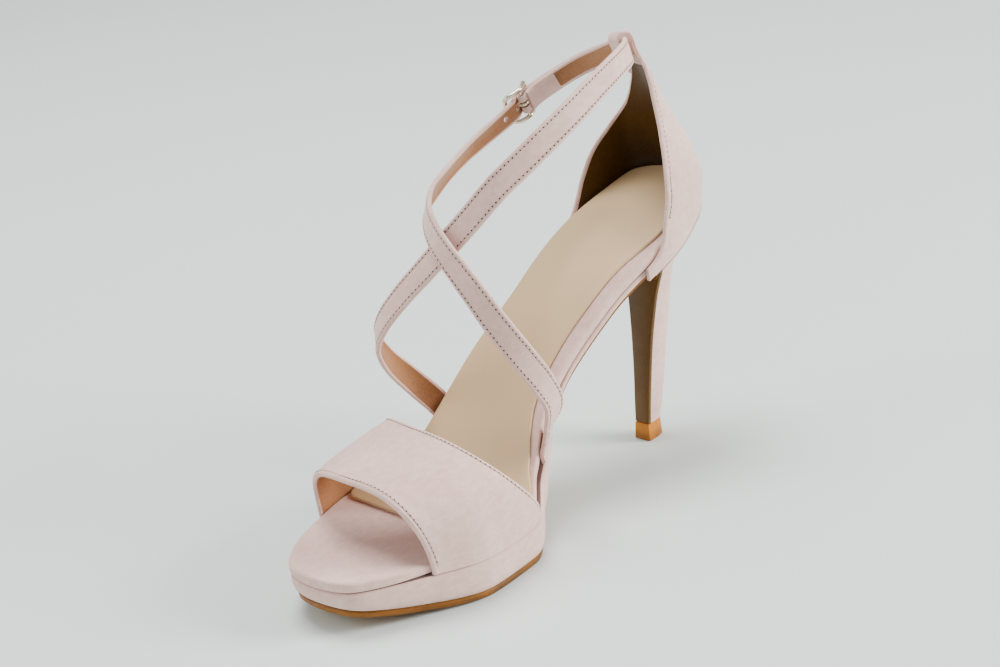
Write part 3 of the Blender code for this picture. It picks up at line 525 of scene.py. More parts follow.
def grain_group() -> bpy.types.NodeTree:
    """The grain of smooth leather: shallow pebbles between fine creases, with a soft stain."""
    wiring, start, end = new_group(
        "leather_grain",
        [
            ("Colour", "Color", (0.6, 0.4, 0.2, 1)),
            ("Stain", "Color", (0.4, 0.25, 0.1, 1)),
            ("Pebble", "Float", 1100.0),
            ("Patch", "Float", 30.0),
        ],
        [("Colour", "Color"), ("Roughness", "Float"), ("Height", "Float")],
    )
    place = wiring.place()
    cell = wiring.span(wiring.cells(place, start["Pebble"]), 0.1, 0.75)
    fine = wiring.noise(place, 4200.0, 2.0)
    cloud = wiring.span(wiring.noise(place, start["Patch"], 3.0), 0.3, 0.75)
    tone = wiring.sum("ADD", wiring.sum("MULTIPLY", cloud, 0.6), wiring.sum("MULTIPLY", cell, 0.25))
    wiring.feed(end["Colour"], wiring.blend(tone, start["Colour"], start["Stain"]))
    wiring.feed(end["Roughness"], wiring.span(cloud, 0.0, 1.0, 0.42, 0.56))
    height = wiring.sum("SUBTRACT", wiring.sum("MULTIPLY", fine, 0.35), wiring.sum("MULTIPLY", cell, 0.8))
    wiring.feed(end["Height"], height)
    return wiring.tree


def wear_group() -> bpy.types.NodeTree:
    """Handling marks: faint dust close to the ground and a few short scuffs."""
    wiring, start, end = new_group(
        "wear",
        [
            ("Colour", "Color", (0.6, 0.5, 0.5, 1)),
            ("Dust", "Color", (0.35, 0.28, 0.22, 1)),
            ("Reach", "Float", 0.006),
            ("Scuffs", "Float", 0.3),
        ],
        [("Colour", "Color"), ("Mask", "Float")],
    )
    place = wiring.place()
    split = wiring.node("ShaderNodeSeparateXYZ")
    wiring.feed(split.inputs[0], place)
    low = wiring.sum("SUBTRACT", 1.0, wiring.sum("DIVIDE", split.outputs["Z"], start["Reach"]))
    low = wiring.sum("MULTIPLY", wiring.span(low, 0.0, 1.0), wiring.noise(place, 240.0))
    mark = wiring.noise(wiring.place((0.35, 1.0, 2.2)), 210.0, 4.0, 0.7)
    mark = wiring.sum("MULTIPLY", wiring.span(mark, 0.66, 0.74), start["Scuffs"])
    mask = wiring.sum("MAXIMUM", low, mark)
    wiring.feed(end["Colour"], wiring.blend(mask, start["Colour"], start["Dust"]))
    wiring.feed(end["Mask"], mask)
    return wiring.tree


def paint(red: float, green: float, blue: float) -> tuple[float, float, float, float]:
    """A colour of the photo's kind, 0 to 255, as linear light."""
    values = [c / 255 for c in (red, green, blue)]
    return (*[c / 12.92 if c <= 0.04045 else ((c + 0.055) / 1.055) ** 2.4 for c in values], 1.0)


@dataclass(frozen=True)
class Finish:
    """A finish: a Principled material whose colour, roughness and bump come from shared groups."""

    name: str
    colour: tuple[float, float, float]
    shade: tuple[float, float, float]
    depth: float = 0.12
    strength: float = 0.4

    def start(self) -> tuple[Wiring, bpy.types.Node]:
        """A new material's wiring and its shader."""
        material = bpy.data.materials.new(self.name)
        material.use_nodes = True
        wiring = Wiring(material.node_tree)
        return wiring, material.node_tree.nodes["Principled BSDF"]

    def use(self, wiring: Wiring, group: str, **values: object) -> bpy.types.Node:
        """Places a shared group in a material.

        Args:
            wiring: the material's wiring.
            group: the group's name.
            values: its inputs by name.

        Returns:
            The group's node.
        """
        made = wiring.node("ShaderNodeGroup", node_tree=bpy.data.node_groups[group])
        for name, value in values.items():
            wiring.feed(made.inputs[name], value)
        return made

    def bump(self, wiring: Wiring, shader: bpy.types.Node, height: Socket) -> None:
        """Raises the surface by a height between 0 and 1 times the finish's depth."""
        made = wiring.node("ShaderNodeBump")
        made.inputs["Strength"].default_value = self.strength
        made.inputs["Distance"].default_value = self.depth * MM
        wiring.feed(made.inputs["Height"], height)
        wiring.feed(shader.inputs["Normal"], made.outputs[0])


@dataclass(frozen=True)
class Suede(Finish):
    """Brushed suede, dull and soft, with a pale fuzz where it is seen at a low angle."""

    patch: float = 50.0
    scuffs: float = 0.0

    def material(self) -> bpy.types.Material:
        """Makes the material."""
        wiring, shader = self.start()
        nap = self.use(wiring, "nap", Colour=paint(*self.colour), Shade=paint(*self.shade), Patch=self.patch)
        wear = self.use(wiring, "wear", Colour=nap.outputs["Colour"], Scuffs=self.scuffs)
        wiring.feed(shader.inputs["Base Color"], wear.outputs["Colour"])
        wiring.feed(shader.inputs["Roughness"], nap.outputs["Roughness"])
        self.bump(wiring, shader, nap.outputs["Height"])
        shader.inputs["Specular IOR Level"].default_value = 0.2
        shader.inputs["Sheen Weight"].default_value = 0.35
        shader.inputs["Sheen Roughness"].default_value = 0.45
        shader.inputs["Sheen Tint"].default_value = (1.0, 0.93, 0.9, 1.0)
        return bpy.data.materials[self.name]


@dataclass(frozen=True)
class Leather(Finish):
    """Smooth leather with a fine grain and a soft gloss."""

    pebble: float = 1100.0
    patch: float = 30.0
    coat: float = 0.05
    scuffs: float = 0.0
    mark: tuple[float, float, float] = (70.0, 50.0, 20.0)
    gloss: float = 0.25

    def material(self) -> bpy.types.Material:
        """Makes the material."""
        wiring, shader = self.start()
        tones = {"Colour": paint(*self.colour), "Stain": paint(*self.shade)}
        grain = self.use(wiring, "leather_grain", Pebble=self.pebble, Patch=self.patch, **tones)
        wear = self.use(
            wiring, "wear", Colour=grain.outputs["Colour"], Dust=paint(*self.mark), Scuffs=self.scuffs
        )
        wiring.feed(shader.inputs["Base Color"], wear.outputs["Colour"])
        wiring.feed(shader.inputs["Roughness"], grain.outputs["Roughness"])
        self.bump(wiring, shader, grain.outputs["Height"])
        shader.inputs["Specular IOR Level"].default_value = self.gloss
        shader.inputs["Coat Weight"].default_value = self.coat
        shader.inputs["Coat Roughness"].default_value = 0.35
        return bpy.data.materials[self.name]


@dataclass(frozen=True)
class CutEdge(Finish):
    """The burnished edge of sole leather, with its fibres lying along the layers."""

    def material(self) -> bpy.types.Material:
        """Makes the material."""
        wiring, shader = self.start()
        lines = wiring.noise(wiring.place((0.06, 0.06, 1.0)), 5200.0, 3.0, 0.6)
        broad = wiring.noise(wiring.place(), 90.0)
        tone = wiring.sum("ADD", wiring.sum("MULTIPLY", lines, 0.6), wiring.sum("MULTIPLY", broad, 0.5))
        colour = wiring.blend(wiring.span(tone, 0.3, 0.8), paint(*self.shade), paint(*self.colour))
        wear = self.use(wiring, "wear", Colour=colour, Dust=paint(60, 45, 25), Scuffs=0.2)
        wiring.feed(shader.inputs["Base Color"], wear.outputs["Colour"])
        wiring.feed(shader.inputs["Roughness"], wiring.span(lines, 0.2, 0.8, 0.38, 0.6))
        self.bump(wiring, shader, lines)
        shader.inputs["Specular IOR Level"].default_value = 0.25
        shader.inputs["Coat Weight"].default_value = 0.1
        return bpy.data.materials[self.name]


@dataclass(frozen=True)
class Metal(Finish):
    """Plated metal with faint polishing lines."""

    def material(self) -> bpy.types.Material:
        """Makes the material."""
        wiring, shader = self.start()
        haze = wiring.noise(wiring.place((1.0, 0.2, 1.0)), 1500.0, 2.0)
        tint = wiring.blend(wiring.noise(wiring.place(), 200.0), paint(*self.shade), paint(*self.colour))
        wiring.feed(shader.inputs["Base Color"], tint)
        wiring.feed(shader.inputs["Roughness"], wiring.span(haze, 0.2, 0.8, 0.12, 0.26))
        self.bump(wiring, shader, haze)
        shader.inputs["Metallic"].default_value = 1.0
        return bpy.data.materials[self.name]


@dataclass(frozen=True)
class Thread(Finish):
    """Twisted sewing thread."""

    def material(self) -> bpy.types.Material:
        """Makes the material."""
        wiring, shader = self.start()
        twist = wiring.noise(wiring.place(), 5200.0, 1.0)
        colour = wiring.blend(wiring.span(twist, 0.3, 0.7), paint(*self.shade), paint(*self.colour))
        wiring.feed(shader.inputs["Base Color"], colour)
        wiring.feed(shader.inputs["Roughness"], wiring.span(twist, 0.2, 0.8, 0.55, 0.75))
        self.bump(wiring, shader, twist)
        return bpy.data.materials[self.name]


class Wardrobe:
    """Every finish of the sandal, each made once."""

    def __init__(self) -> None:
        """Makes the shared groups and the materials."""
        nap_group()
        grain_group()
        wear_group()
        suede, shade = (231.0, 197.0, 186.0), (200.0, 162.0, 151.0)
        self.suede = Suede("suede", suede, shade, 0.14, 0.5).material()
        self.heel_suede = Suede("heel_suede", suede, shade, 0.12, 0.4, scuffs=0.1).material()
        # Dark suede painted as the shade in the gap between the insole board and the platform.
        self.seam = Suede("seam", (120.0, 92.0, 86.0), (92.0, 66.0, 60.0), 0.1, 0.4).material()
        self.lining = Leather("lining", (166.0, 116.0, 80.0), (130.0, 84.0, 52.0), 0.06, 0.4).material()
        # The cup's lining is the lining's brown made far darker: painted shade inside the heel cup.
        self.cup_lining_painted_shade = Leather("cup_lining_painted_shade", (82.0, 52.0, 2.0), (40.0, 19.0, 0.0), 0.06, 0.4).material()
        sock, stain = (224.0, 154.0, 80.0), (198.0, 124.0, 54.0)
        self.sock = Leather("sock", sock, stain, 0.05, 0.3, 1500.0, 18.0).material()
        self.sole_edge = CutEdge("sole_edge", (146.0, 90.0, 10.0), (102.0, 56.0, 2.0), 0.05, 0.5).material()
        sole, stain = (184.0, 132.0, 62.0), (158.0, 102.0, 38.0)
        self.sole = Leather("sole", sole, stain, 0.05, 0.4, scuffs=0.25).material()
        # The breast is the sole's leather made far darker: painted shade under the heel's seat. Its scuff
        # marks are real wear.
        breast, stain, mark = (98.0, 66.0, 1.0), (76.0, 48.0, 0.0), (32.0, 18.0, 0.0)
        self.breast = Leather("breast", breast, stain, 0.05, 0.4, 1300.0, 60.0, 0.2, 0.5, mark).material()
        lift, stain = (196.0, 120.0, 22.0), (164.0, 92.0, 10.0)
        self.lift = Leather("lift", lift, stain, 0.04, 0.3, scuffs=0.3).material()
        self.metal = Metal("pale_gold", (236.0, 226.0, 204.0), (214.0, 200.0, 170.0), 0.01, 0.1).material()
        self.thread = Thread("thread", (214.0, 186.0, 176.0), (170.0, 142.0, 134.0), 0.05, 0.4).material()
        # A dark finish for the discs at the needle holes: painted shade.
        self.pinhole_painted_shade = Thread("pinhole_painted_shade", (60.0, 40.0, 38.0), (38.0, 24.0, 22.0), 0.02, 0.2).material()


@dataclass
class Stitching:
    """Rows of thread in a shallow groove, with a dark disc at each end of a stitch, painted as the shade of
    its needle hole.
    """

    last: Last
    pitch: float = 1.9
    thick: float = 0.2
    # Radius and lift of the dark disc that is painted as a needle hole's shade.
    hole: float = 0.36
    hole_lift: float = 0.1
    reach: float = 0.36
    half_profile: tuple[tuple[float, float, float], ...] = (
        # place along half a stitch, thickness and lift as shares of the thread
        (-1.0, 0.15, -0.5),
        (-0.82, 0.8, 0.1),
        (-0.3, 1.0, 0.45),
    )
    frames: list[Array] = field(default_factory=list)

    def row(self, path: Array, out: Array) -> None:
        """Adds a row.

        Args:
            path: points along the row, on the surface.
            out: the surface's outward directions there.
        """
        run = np.concatenate([[0.0], np.cumsum(np.linalg.norm(np.diff(path, axis=0), axis=1))])
        count = max(2, int(run[-1] / self.pitch))
        at = np.linspace(0.4 * self.pitch, run[-1] - 0.4 * self.pitch, count)
        spot = np.stack([np.interp(at, run, path[:, k]) for k in range(3)], -1)
        up = unit(np.stack([np.interp(at, run, out[:, k]) for k in range(3)], -1))
        ahead = np.gradient(spot, axis=0)
        ahead = unit(ahead - up * np.sum(ahead * up, axis=1, keepdims=True))
        self.frames.append(np.stack([spot, ahead, up, np.cross(up, ahead)], 1))

    def build(self, name: str, wardrobe: Wardrobe, slot: str) -> bpy.types.Object:
        """Makes one mesh of all the rows.

        Args:
            name: the piece's name.
            wardrobe: the finishes.
            slot: the record's material slot.

        Returns:
            The piece.
        """
        sculpt = Sculpt(name, self.last.origin)
        half = self.reach * self.pitch
        turn = np.linspace(0, 2 * math.pi, 6, endpoint=False)
        mirrored = tuple((-t, size, lift) for t, size, lift in reversed(self.half_profile))
        profile = self.half_profile + mirrored
        for spot, ahead, up, across in np.concatenate(self.frames):
            rings = np.array(
                [
                    [
                        spot
                        + ahead * t * half
                        + across * self.thick * size * math.cos(a)
                        + up * self.thick * (0.75 * size * math.sin(a) + lift)
                        for a in turn
                    ]
                    for t, size, lift in profile
                ]
            )
            sculpt.grid(rings, 0, loop=True)
            # A flat dark disc just above the surface: painted shade standing for the needle hole.
            middle = spot + ahead * self.pitch / 2 + up * self.hole_lift
            disc = np.array([middle + self.hole * (ahead * math.cos(a) + across * math.sin(a)) for a in turn])
            sculpt.cap(disc, 1)
        thing = sculpt.finish([wardrobe.thread, wardrobe.pinhole_painted_shade])
        return dress(thing, slot)


@dataclass
class SolePlates:
    """Insole board, sock, platform and outsole, each a closed loft between the two sides of the foot."""

    last: Last
    board_round: float = 1.2
    sock: float = 0.9
    sock_front: float = 0.79
    sock_corner: float = 9.0
    sock_corner_share: float = 0.03
    sock_border: float = 5.5
    sock_inset: Table = Table(
        (
            (0.00, 0.27, 0.27),
            (0.10, 0.55, 0.29),
            (0.25, 1.00, 0.33),
            (0.50, 0.91, 0.29),
            (0.62, 0.29, 0.22),
            (1.00, 0.22, 0.22),
        )
    )
    platform_draft: float = 2.2
    outsole_inset: float = 1.6

    def loft(
        self,
        sculpt: Sculpt,
        share: Array,
        steps: Sequence[tuple[Array, Array, Callable[[Array], Array], int]],
        cap: tuple[int, int],
    ) -> None:
        """Adds a closed plate.

        Args:
            sculpt: the piece that it goes to.
            share: shares of the length, a row each.
            steps: medial and lateral outset, height over a place along the foot, and the finish below it.
            cap: the finishes of the top and the bottom.
        """
        loops = []
        for medial, lateral, height, _ in steps:
            pair = []
            for side, outset in ((Side.MEDIAL, medial), (Side.LATERAL, lateral)):
                x, y = self.last.rim(share, side, outset)
                pair.append(np.stack([x, y, height(y)], -1))
            loops.append(pair)
        rings = np.array([np.concatenate([medial, lateral[::-1]]) for medial, lateral in loops])
        looks = np.array([[step[3]] for step in steps[:-1]])
        sculpt.grid(rings, looks, loop=True)
        across = np.linspace(0.0, 1.0, 15)[:, None, None]
        for (medial, lateral), look in ((loops[0], cap[0]), (loops[-1], cap[1])):
            sculpt.grid(medial * (1 - across) + lateral * across, look)

    def board(self, wardrobe: Wardrobe) -> bpy.types.Object:
        """The insole board in its suede wrap, softly padded at its edge."""
        share = shares_between(0.0, 1.0, 260)
        edge = -self.last.board_inset(share)
        r, full = self.board_round, self.last.stack.board
        turns = [(r * (1 - math.sin(a)), r * (1 - math.cos(a))) for a in np.linspace(0, math.pi / 2, 9)]
        turns += [(0.0, full - 1.1), (0.12, full - 0.6), (0.45, full - 0.2), (1.1, full)]
        steps = []
        for inset, depth in turns:
            steps.append((edge - inset, edge - inset, lambda y, d=depth: self.last.level(y, d), 0))
        sculpt = Sculpt("insole_wrap", self.last.origin)
        self.loft(sculpt, share, steps, (0, 0))
        return dress(sculpt.finish([wardrobe.suede]), "insole_board", "insole_board")

    def sock_sheet(self, wardrobe: Wardrobe) -> bpy.types.Object:
        """The leather sock, plain all over, with a thin cut edge."""
        share = shares_between(0.0, self.sock_front, 240)
        pinch = np.clip((share - self.sock_front) / self.sock_corner_share + 1, 0, 0.99)
        narrow = self.sock_corner * (1 - np.sqrt(1 - pinch**2))
        board = self.last.board_inset(share)
        edges = [board + self.sock_border * self.sock_inset.straight(share, k) + narrow for k in (1, 2)]
        steps = []
        top = GAP + self.sock
        for move, rise in ((0.7, top), (0.25, top - 0.12), (0.05, top - 0.35), (0.0, top - 0.6), (0.0, GAP)):
            steps.append((-edges[0] - move, -edges[1] - move, lambda y, d=-rise: self.last.level(y, d), 0))
        sculpt = Sculpt("sock_sheet", self.last.origin)
        self.loft(sculpt, share, steps, (0, 0))
        return dress(sculpt.finish([wardrobe.sock]), "sock", "sock")

    def platform(self, wardrobe: Wardrobe) -> bpy.types.Object:
        """The covered platform, its suede pulled over the edge and under, with a dark strip of painted shade
        along its top edge under the board.
        """
        last = self.last
        share = shares_between(last.stack.breast, 1.0, 240)
        edge = last.platform_outset(share)

        def level(y: Array, way: float) -> Array:
            """Height at a way down the side."""
            return last.level(y, last.stack.board + GAP) * (1 - way) + (last.sole_top(y) + GAP) * way

        # way down the side, inset as a share of the draft
        side = ((0.0, 0.7), (0.012, 0.4), (0.04, 0.16), (0.09, 0.03), (0.25, -0.02), (0.4, -0.02))
        side += ((0.55, 0.0), (0.7, 0.09), (0.82, 0.22), (0.9, 0.4), (0.96, 0.68), (1.0, 1.0))
        steps = []
        for way, inset in side:
            outset = edge - self.platform_draft * inset
            # The top strip of the side takes finish 1, the dark seam suede: painted shade in the gap under
            # the board.
            steps.append((outset, outset, lambda y, w=way: level(y, w), int(way == 0.0)))
        sculpt = Sculpt("platform_cover", last.origin)
        # The top face takes the dark seam suede too: painted shade under the board.
        self.loft(sculpt, share, steps, (1, 0))
        return dress(sculpt.finish([wardrobe.suede, wardrobe.seam]), "platform", "platform")

    def outsole(self, wardrobe: Wardrobe) -> bpy.types.Object:
        """The leather outsole with its burnished edge."""
        last = self.last
        share = shares_between(last.stack.breast, 1.0, 240)
        edge = last.platform_outset(share) - self.outsole_inset
        thick = last.stack.outsole
        steps = []
        # way down the edge, inset as a share of the thickness
        side = ((0.0, 0.1), (0.08, 0.02), (0.2, 0.0), (0.7, 0.0), (0.85, 0.03), (0.95, 0.09), (1.0, 0.17))
        for way, inset in side:
            outset = edge - thick * inset

            def height(y: Array, w: float = way) -> Array:
                """Height at this way down the edge."""
                return last.sole_top(y) * (1 - w) + last.under(y) * w

            steps.append((outset, outset, height, 0))
        sculpt = Sculpt("outsole_leather", last.origin)
        self.loft(sculpt, share, steps, (1, 1))
        return dress(sculpt.finish([wardrobe.sole_edge, wardrobe.sole]), "outsole", "outsole")

    def build(self, wardrobe: Wardrobe) -> None:
        """Builds the four plates."""
        for make in (self.outsole, self.platform, self.board, self.sock_sheet):
            make(wardrobe)


@dataclass(frozen=True)
class Roll:
    """The section of a lined sheet near its edge: a folded rim and the groove of its stitches."""

    wall: float
    seam: float = 1.7
    groove: float = 0.1
    reach: float = 0.5
    fold: float = 1.3
    steps: tuple[float, ...] = (0.0, 0.05, 0.17, 0.36, 0.6, 0.95, 1.3, 1.5, 1.7, 1.9, 2.1, 2.6, 3.4)

    def inward(self, distance: Array) -> tuple[Array, Array]:
        """Depths of the outer and inner face under the sheet's nominal outside.

        Args:
            distance: distance from the edge.

        Returns:
            The depth of the outer face and that of the inner face.
        """
        half = self.wall / 2
        short = np.clip(1 - distance / half, 0, 1)
        round_off = half * (1 - np.sqrt(1 - short**2))
        groove = self.groove * np.exp(-(((distance - self.seam) / self.reach) ** 2))
        return round_off + groove, self.wall - round_off


@dataclass
class Vamp:
    """The broad open-toed band over the forefoot."""

    last: Last
    wall: float = 1.9
    rise: float = 34.5
    edges: Table = Table(
        (
            # edge, feet as shares of the length, bow as a share of the ball width, height, squareness
            (0.0, 0.874, 0.841, -0.108, 0.832, 3.3),
            (1.0, 0.645, 0.571, -0.380, 1.000, 2.55),
        )
    )
    folds: Rows = (
        # share round the arch, way from the front edge, their two spreads, depth
        (0.13, 0.62, 0.035, 0.30, 0.30),
        (0.21, 0.78, 0.030, 0.22, -0.22),
        (0.86, 0.55, 0.040, 0.30, 0.32),
        (0.78, 0.80, 0.030, 0.22, -0.20),
        (0.50, 0.50, 0.180, 0.16, 0.18),
    )

    def point(self, angle: Array, way: Array, inward: Array) -> Array:
        """Points of the band.

        Args:
            angle: 0 at the medial foot to pi at the lateral one.
            way: 0 at the front edge to 1 at the rear edge.
            inward: depth under the outside.

        Returns:
            The points.
        """
        last = self.last
        ends = {}
        for edge in Edge:
            medial, lateral, arch, height, squareness = self.edges.rows[edge.value][1:]
            feet = np.interp(even_turn(np.array([medial, lateral])), last.turn, last.y)
            across = (1 - np.cos(angle)) / 2
            y = feet[0] + (feet[1] - feet[0]) * across + last.ball_width * arch * np.sin(angle)
            ends[edge] = (y, self.rise * height, squareness)
        y, rise, square = (a * (1 - way) + b * way for a, b in zip(ends[Edge.FRONT], ends[Edge.REAR]))
        share = last.share_at(y)
        outset = GAP + self.wall - inward - last.board_inset(share)
        turn = even_turn(share)
        sides = [np.interp(turn, last.turn, last.edge[side]) + side.value * outset for side in Side]
        centre, half = (sides[0] + sides[1]) / 2, (sides[0] - sides[1]) / 2
        c, s = np.cos(angle), np.abs(np.sin(angle))
        x = centre + half * np.sign(c) * np.abs(c) ** (2 / square)
        z = last.level(y, last.stack.board + GAP) + GAP + (rise - inward) * s ** (2 / square)
        return np.stack([x, y, z], -1)

    def softness(self, angle: Array, way: Array) -> Array:
        """Depth of the soft troughs and ridges that hand lasting leaves."""
        total = np.zeros(np.broadcast(angle, way).shape)
        for round_share, along, wide, long, depth in self.folds:
            offset = ((angle / math.pi - round_share) / wide) ** 2 + ((way - along) / long) ** 2
            total = total + depth * np.exp(-offset)
        return total

    def build(self, wardrobe: Wardrobe) -> None:
        """Builds the band and its two rows of stitches."""
        roll = Roll(self.wall)
        turn = np.linspace(0.0, 1.0, 181)
        angle = (math.pi * (turn - 0.10 * np.sin(2 * math.pi * turn) / 2))[None, :]
        wide = np.linalg.norm(self.point(angle, 1.0, 0.0) - self.point(angle, 0.0, 0.0), axis=-1)
        near = np.array(roll.steps)[:, None] / wide
        middle = near[-1] + (1 - 2 * near[-1]) * np.linspace(0, 1, 30)[1:-1, None]
        way = np.concatenate([near, middle, 1 - near[::-1]])
        distance = np.minimum(way, 1 - way) * wide
        outer_in, inner_in = roll.inward(distance)
        soft = self.softness(angle, way) * ease(distance / 4.0)
        outer = self.point(angle, way, outer_in + soft)
        inner = self.point(angle, way, inner_in + soft)
        sculpt = Sculpt("vamp_band", self.last.origin)
        folded = (distance[:-1, :-1] + distance[1:, 1:]) / 2 < roll.fold
        sculpt.grid(outer, 0)
        sculpt.grid(inner, np.where(folded, 0, 1))
        for foot in (0, -1):
            sculpt.grid(np.stack([outer[:, foot], inner[:, foot]]), 0)
        dress(sculpt.finish([wardrobe.suede, wardrobe.lining]), "vamp", "vamp")
        stitching = Stitching(self.last)
        for place in (roll.seam / wide, 1 - roll.seam / wide):
            path = self.point(angle, place, np.full_like(place, 0.0))[0]
            above = self.point(angle, place, np.full_like(place, -1.0))[0]
            stitching.row(path[2:-2], unit(above - path)[2:-2])
        stitching.build("vamp_stitches", wardrobe, "vamp")


@dataclass
class Counter:
    """The heel cup with its top folded over the ankle strap as a loop."""

    last: Last
    wall: float = 1.9
    way: float = 59.5
    turn: float = 3.2
    depth: float = 6.8
    height: float = 50.0
    back: Table = Table(
        (
            # height over the seat and setback as shares of the height, scale of the plan
            (-0.16, 0.000, 1.00),
            (0.02, -0.022, 1.02),
            (0.14, 0.010, 1.00),
            (0.26, 0.060, 0.95),
            (0.36, 0.114, 0.88),
            (0.46, 0.174, 0.80),
            (0.58, 0.240, 0.70),
            (0.70, 0.300, 0.59),
            (0.82, 0.355, 0.50),
            (0.94, 0.415, 0.43),
            (1.06, 0.490, 0.38),
        )
    )
    top: Table = Table(
        (
            # share of the way round to the breast, medial and lateral top line as shares of the height
            (0.00, 0.98, 0.98),
            (0.11, 0.97, 0.96),
            (0.22, 0.95, 0.80),
            (0.34, 0.89, 0.56),
            (0.50, 0.73, 0.37),
            (0.62, 0.54, 0.23),
            (0.74, 0.31, 0.02),
            (0.82, 0.04, -0.18),
            (0.87, -0.28, -0.28),
            (0.93, -0.38, -0.36),
            (1.00, -0.44, -0.44),
        )
    )

    def seat_line(self, way: Array, outset: float) -> tuple[Array, Array]:
        """Plan points round the seat by signed distance from the heel back, medial side positive.

        Args:
            way: the distances.
            outset: how far the points lie outside the edge.

        Returns:
            The points and their outward normals.
        """
        last = self.last
        points, normals, places = [], [], []
        for side in (Side.LATERAL, Side.MEDIAL):
            line = np.stack([last.edge[side], last.y], -1)
            run = np.concatenate([[0.0], np.cumsum(np.linalg.norm(np.diff(line, axis=0), axis=1))])
            keep = run < 2 * self.way
            order = slice(None, None, -1) if side is Side.LATERAL else slice(1, None)
            places.append((side.value * run[keep])[order])
            points.append(line[keep][order])
            normals.append(last.normal(side)[keep][order])
        places, points, normals = (np.concatenate(part) for part in (places, points, normals))
        at = np.stack([np.interp(way, places, points[:, k]) for k in (0, 1)], -1)
        out = unit(np.stack([np.interp(way, places, normals[:, k]) for k in (0, 1)], -1))
        return at + outset * out, out

    def plan_point(self, side_way: Array, height: Array) -> tuple[Array, Array]:
        """Outer plan point at a height over the seat's back, and its outward normal."""
        base, out = self.seat_line(self.turn + side_way * self.way, GAP + self.wall)
        back, _ = self.seat_line(np.array(self.turn), GAP + self.wall)
        share = height / self.height
        setback = self.height * self.back.smooth(share, 1)
        point = back + (base - back) * self.back.smooth(share, 2)[..., None]
        return point - np.stack([np.zeros_like(setback), setback], -1), out

    def top_line(self, side_way: Array) -> Array:
        """Height of the top edge over the seat's back."""
        medial, lateral = (self.height * self.top.smooth(np.abs(side_way), k) for k in (1, 2))
        return np.where(side_way > 0, medial, lateral)

    def build(self, wardrobe: Wardrobe) -> None:
        """Builds the cup and the stitches along its top line."""
        roll = Roll(self.wall)
        seat = self.last.z[0]
        columns = np.linspace(-1.0, 1.0, 221)
        columns = (columns * (0.75 + 0.25 * np.abs(columns)))[None, :]
        foot, _ = self.plan_point(columns, np.zeros_like(columns))
        low = self.last.level(foot[..., 1], self.depth) - seat
        high = self.top_line(columns)
        lean = np.hypot(1.0, np.gradient(high[0]) / np.gradient(columns[0] * self.way * 0.75))
        near = np.array(roll.steps)[:, None] * lean
        near = np.minimum(near, (high - low) * np.linspace(0, 0.6, len(near))[:, None])
        below = near[-1] + (high - low - near[-1]) * np.linspace(0, 1, 40)[1:, None]
        down = np.concatenate([near, below])
        height = high - down
        outer_in, inner_in = roll.inward(down / lean)
        point, out = self.plan_point(np.broadcast_to(columns, height.shape), height)
        sides = []
        for depth in (outer_in, inner_in):
            plan = point - out * depth[..., None]
            sides.append(np.concatenate([plan, (seat + height)[..., None]], -1))
        sculpt = Sculpt("heel_cup", self.last.origin)
        folded = (down / lean)[:-1, :-1] < 0.7 * roll.fold
        sculpt.grid(sides[0], 0)
        # Below the folded rim the inside takes the cup lining, darkened as painted shade.
        sculpt.grid(sides[1], np.where(folded, 0, 1))
        sculpt.grid(np.stack([sides[0][-1], sides[1][-1]]), 0)
        for end in (0, -1):
            sculpt.grid(np.stack([sides[0][:, end], sides[1][:, end]]), 0)
        dress(sculpt.finish([wardrobe.suede, wardrobe.cup_lining_painted_shade]), "counter", "counter")
        self.stitch(wardrobe, roll, columns[0])

    def stitch(self, wardrobe: Wardrobe, roll: Roll, columns: Array) -> None:
        """Sews a row along the top line, outside, clear of the loop."""
        stitching = Stitching(self.last)
        high = self.top_line(columns)
        lean = np.hypot(1.0, np.gradient(high) / np.gradient(columns * self.way * 0.75))
        height = high - roll.seam * lean
        point, out = self.plan_point(columns, height)
        path = np.column_stack([point, self.last.z[0] + height])
        for keep in ((columns < -0.28) & (columns > -0.82), (columns > 0.26) & (columns < 0.82)):
            stitching.row(path[keep], np.column_stack([out, np.zeros(len(out))])[keep])
        stitching.build("heel_cup_stitches", wardrobe, "counter")


def curve_through(points: Array, spacing: float) -> tuple[Array, Array]:
    """Evenly spaced places on a smooth curve.

    Args:
        points: the points that it passes.
        spacing: the distance between places.

    Returns:
        The places and their distance along the curve.
    """
    padded = np.vstack([2 * points[0] - points[1], points, 2 * points[-1] - points[-2]])
    dense = []
    t = np.linspace(0, 1, 12, endpoint=False)[:, None]
    for i in range(len(points) - 1):
        p0, p1, p2, p3 = padded[i : i + 4]
        square, cube = 2 * p0 - 5 * p1 + 4 * p2 - p3, 3 * p1 - p0 - 3 * p2 + p3
        dense.append(p1 + ((p2 - p0) * t + square * t**2 + cube * t**3) / 2)
    dense = np.vstack([*dense, points[-1:]])
    run = np.concatenate([[0.0], np.cumsum(np.linalg.norm(np.diff(dense, axis=0), axis=1))])
    at = np.linspace(0, run[-1], int(round(run[-1] / spacing)) + 1)
    return np.stack([np.interp(at, run, dense[:, k]) for k in range(3)], -1), at


@dataclass(frozen=True)
class Ribbon:
    """A strap's centre line with its directions, at each station."""

    places: Array
    run: Array
    out: Array
    across: Array
    half: Array

    def at(self, run: float) -> tuple[Array, Array, Array]:
        """The place, outward direction and width direction at a distance along."""
        return tuple(
            np.array([np.interp(run, self.run, part[:, k]) for k in range(3)])
            for part in (self.places, self.out, self.across)
        )


@dataclass(frozen=True)
class Axes:
    """The buckle's place and directions: along the strap, away from the leg and up."""

    at: Array
    along: Array
    out: Array
    up: Array


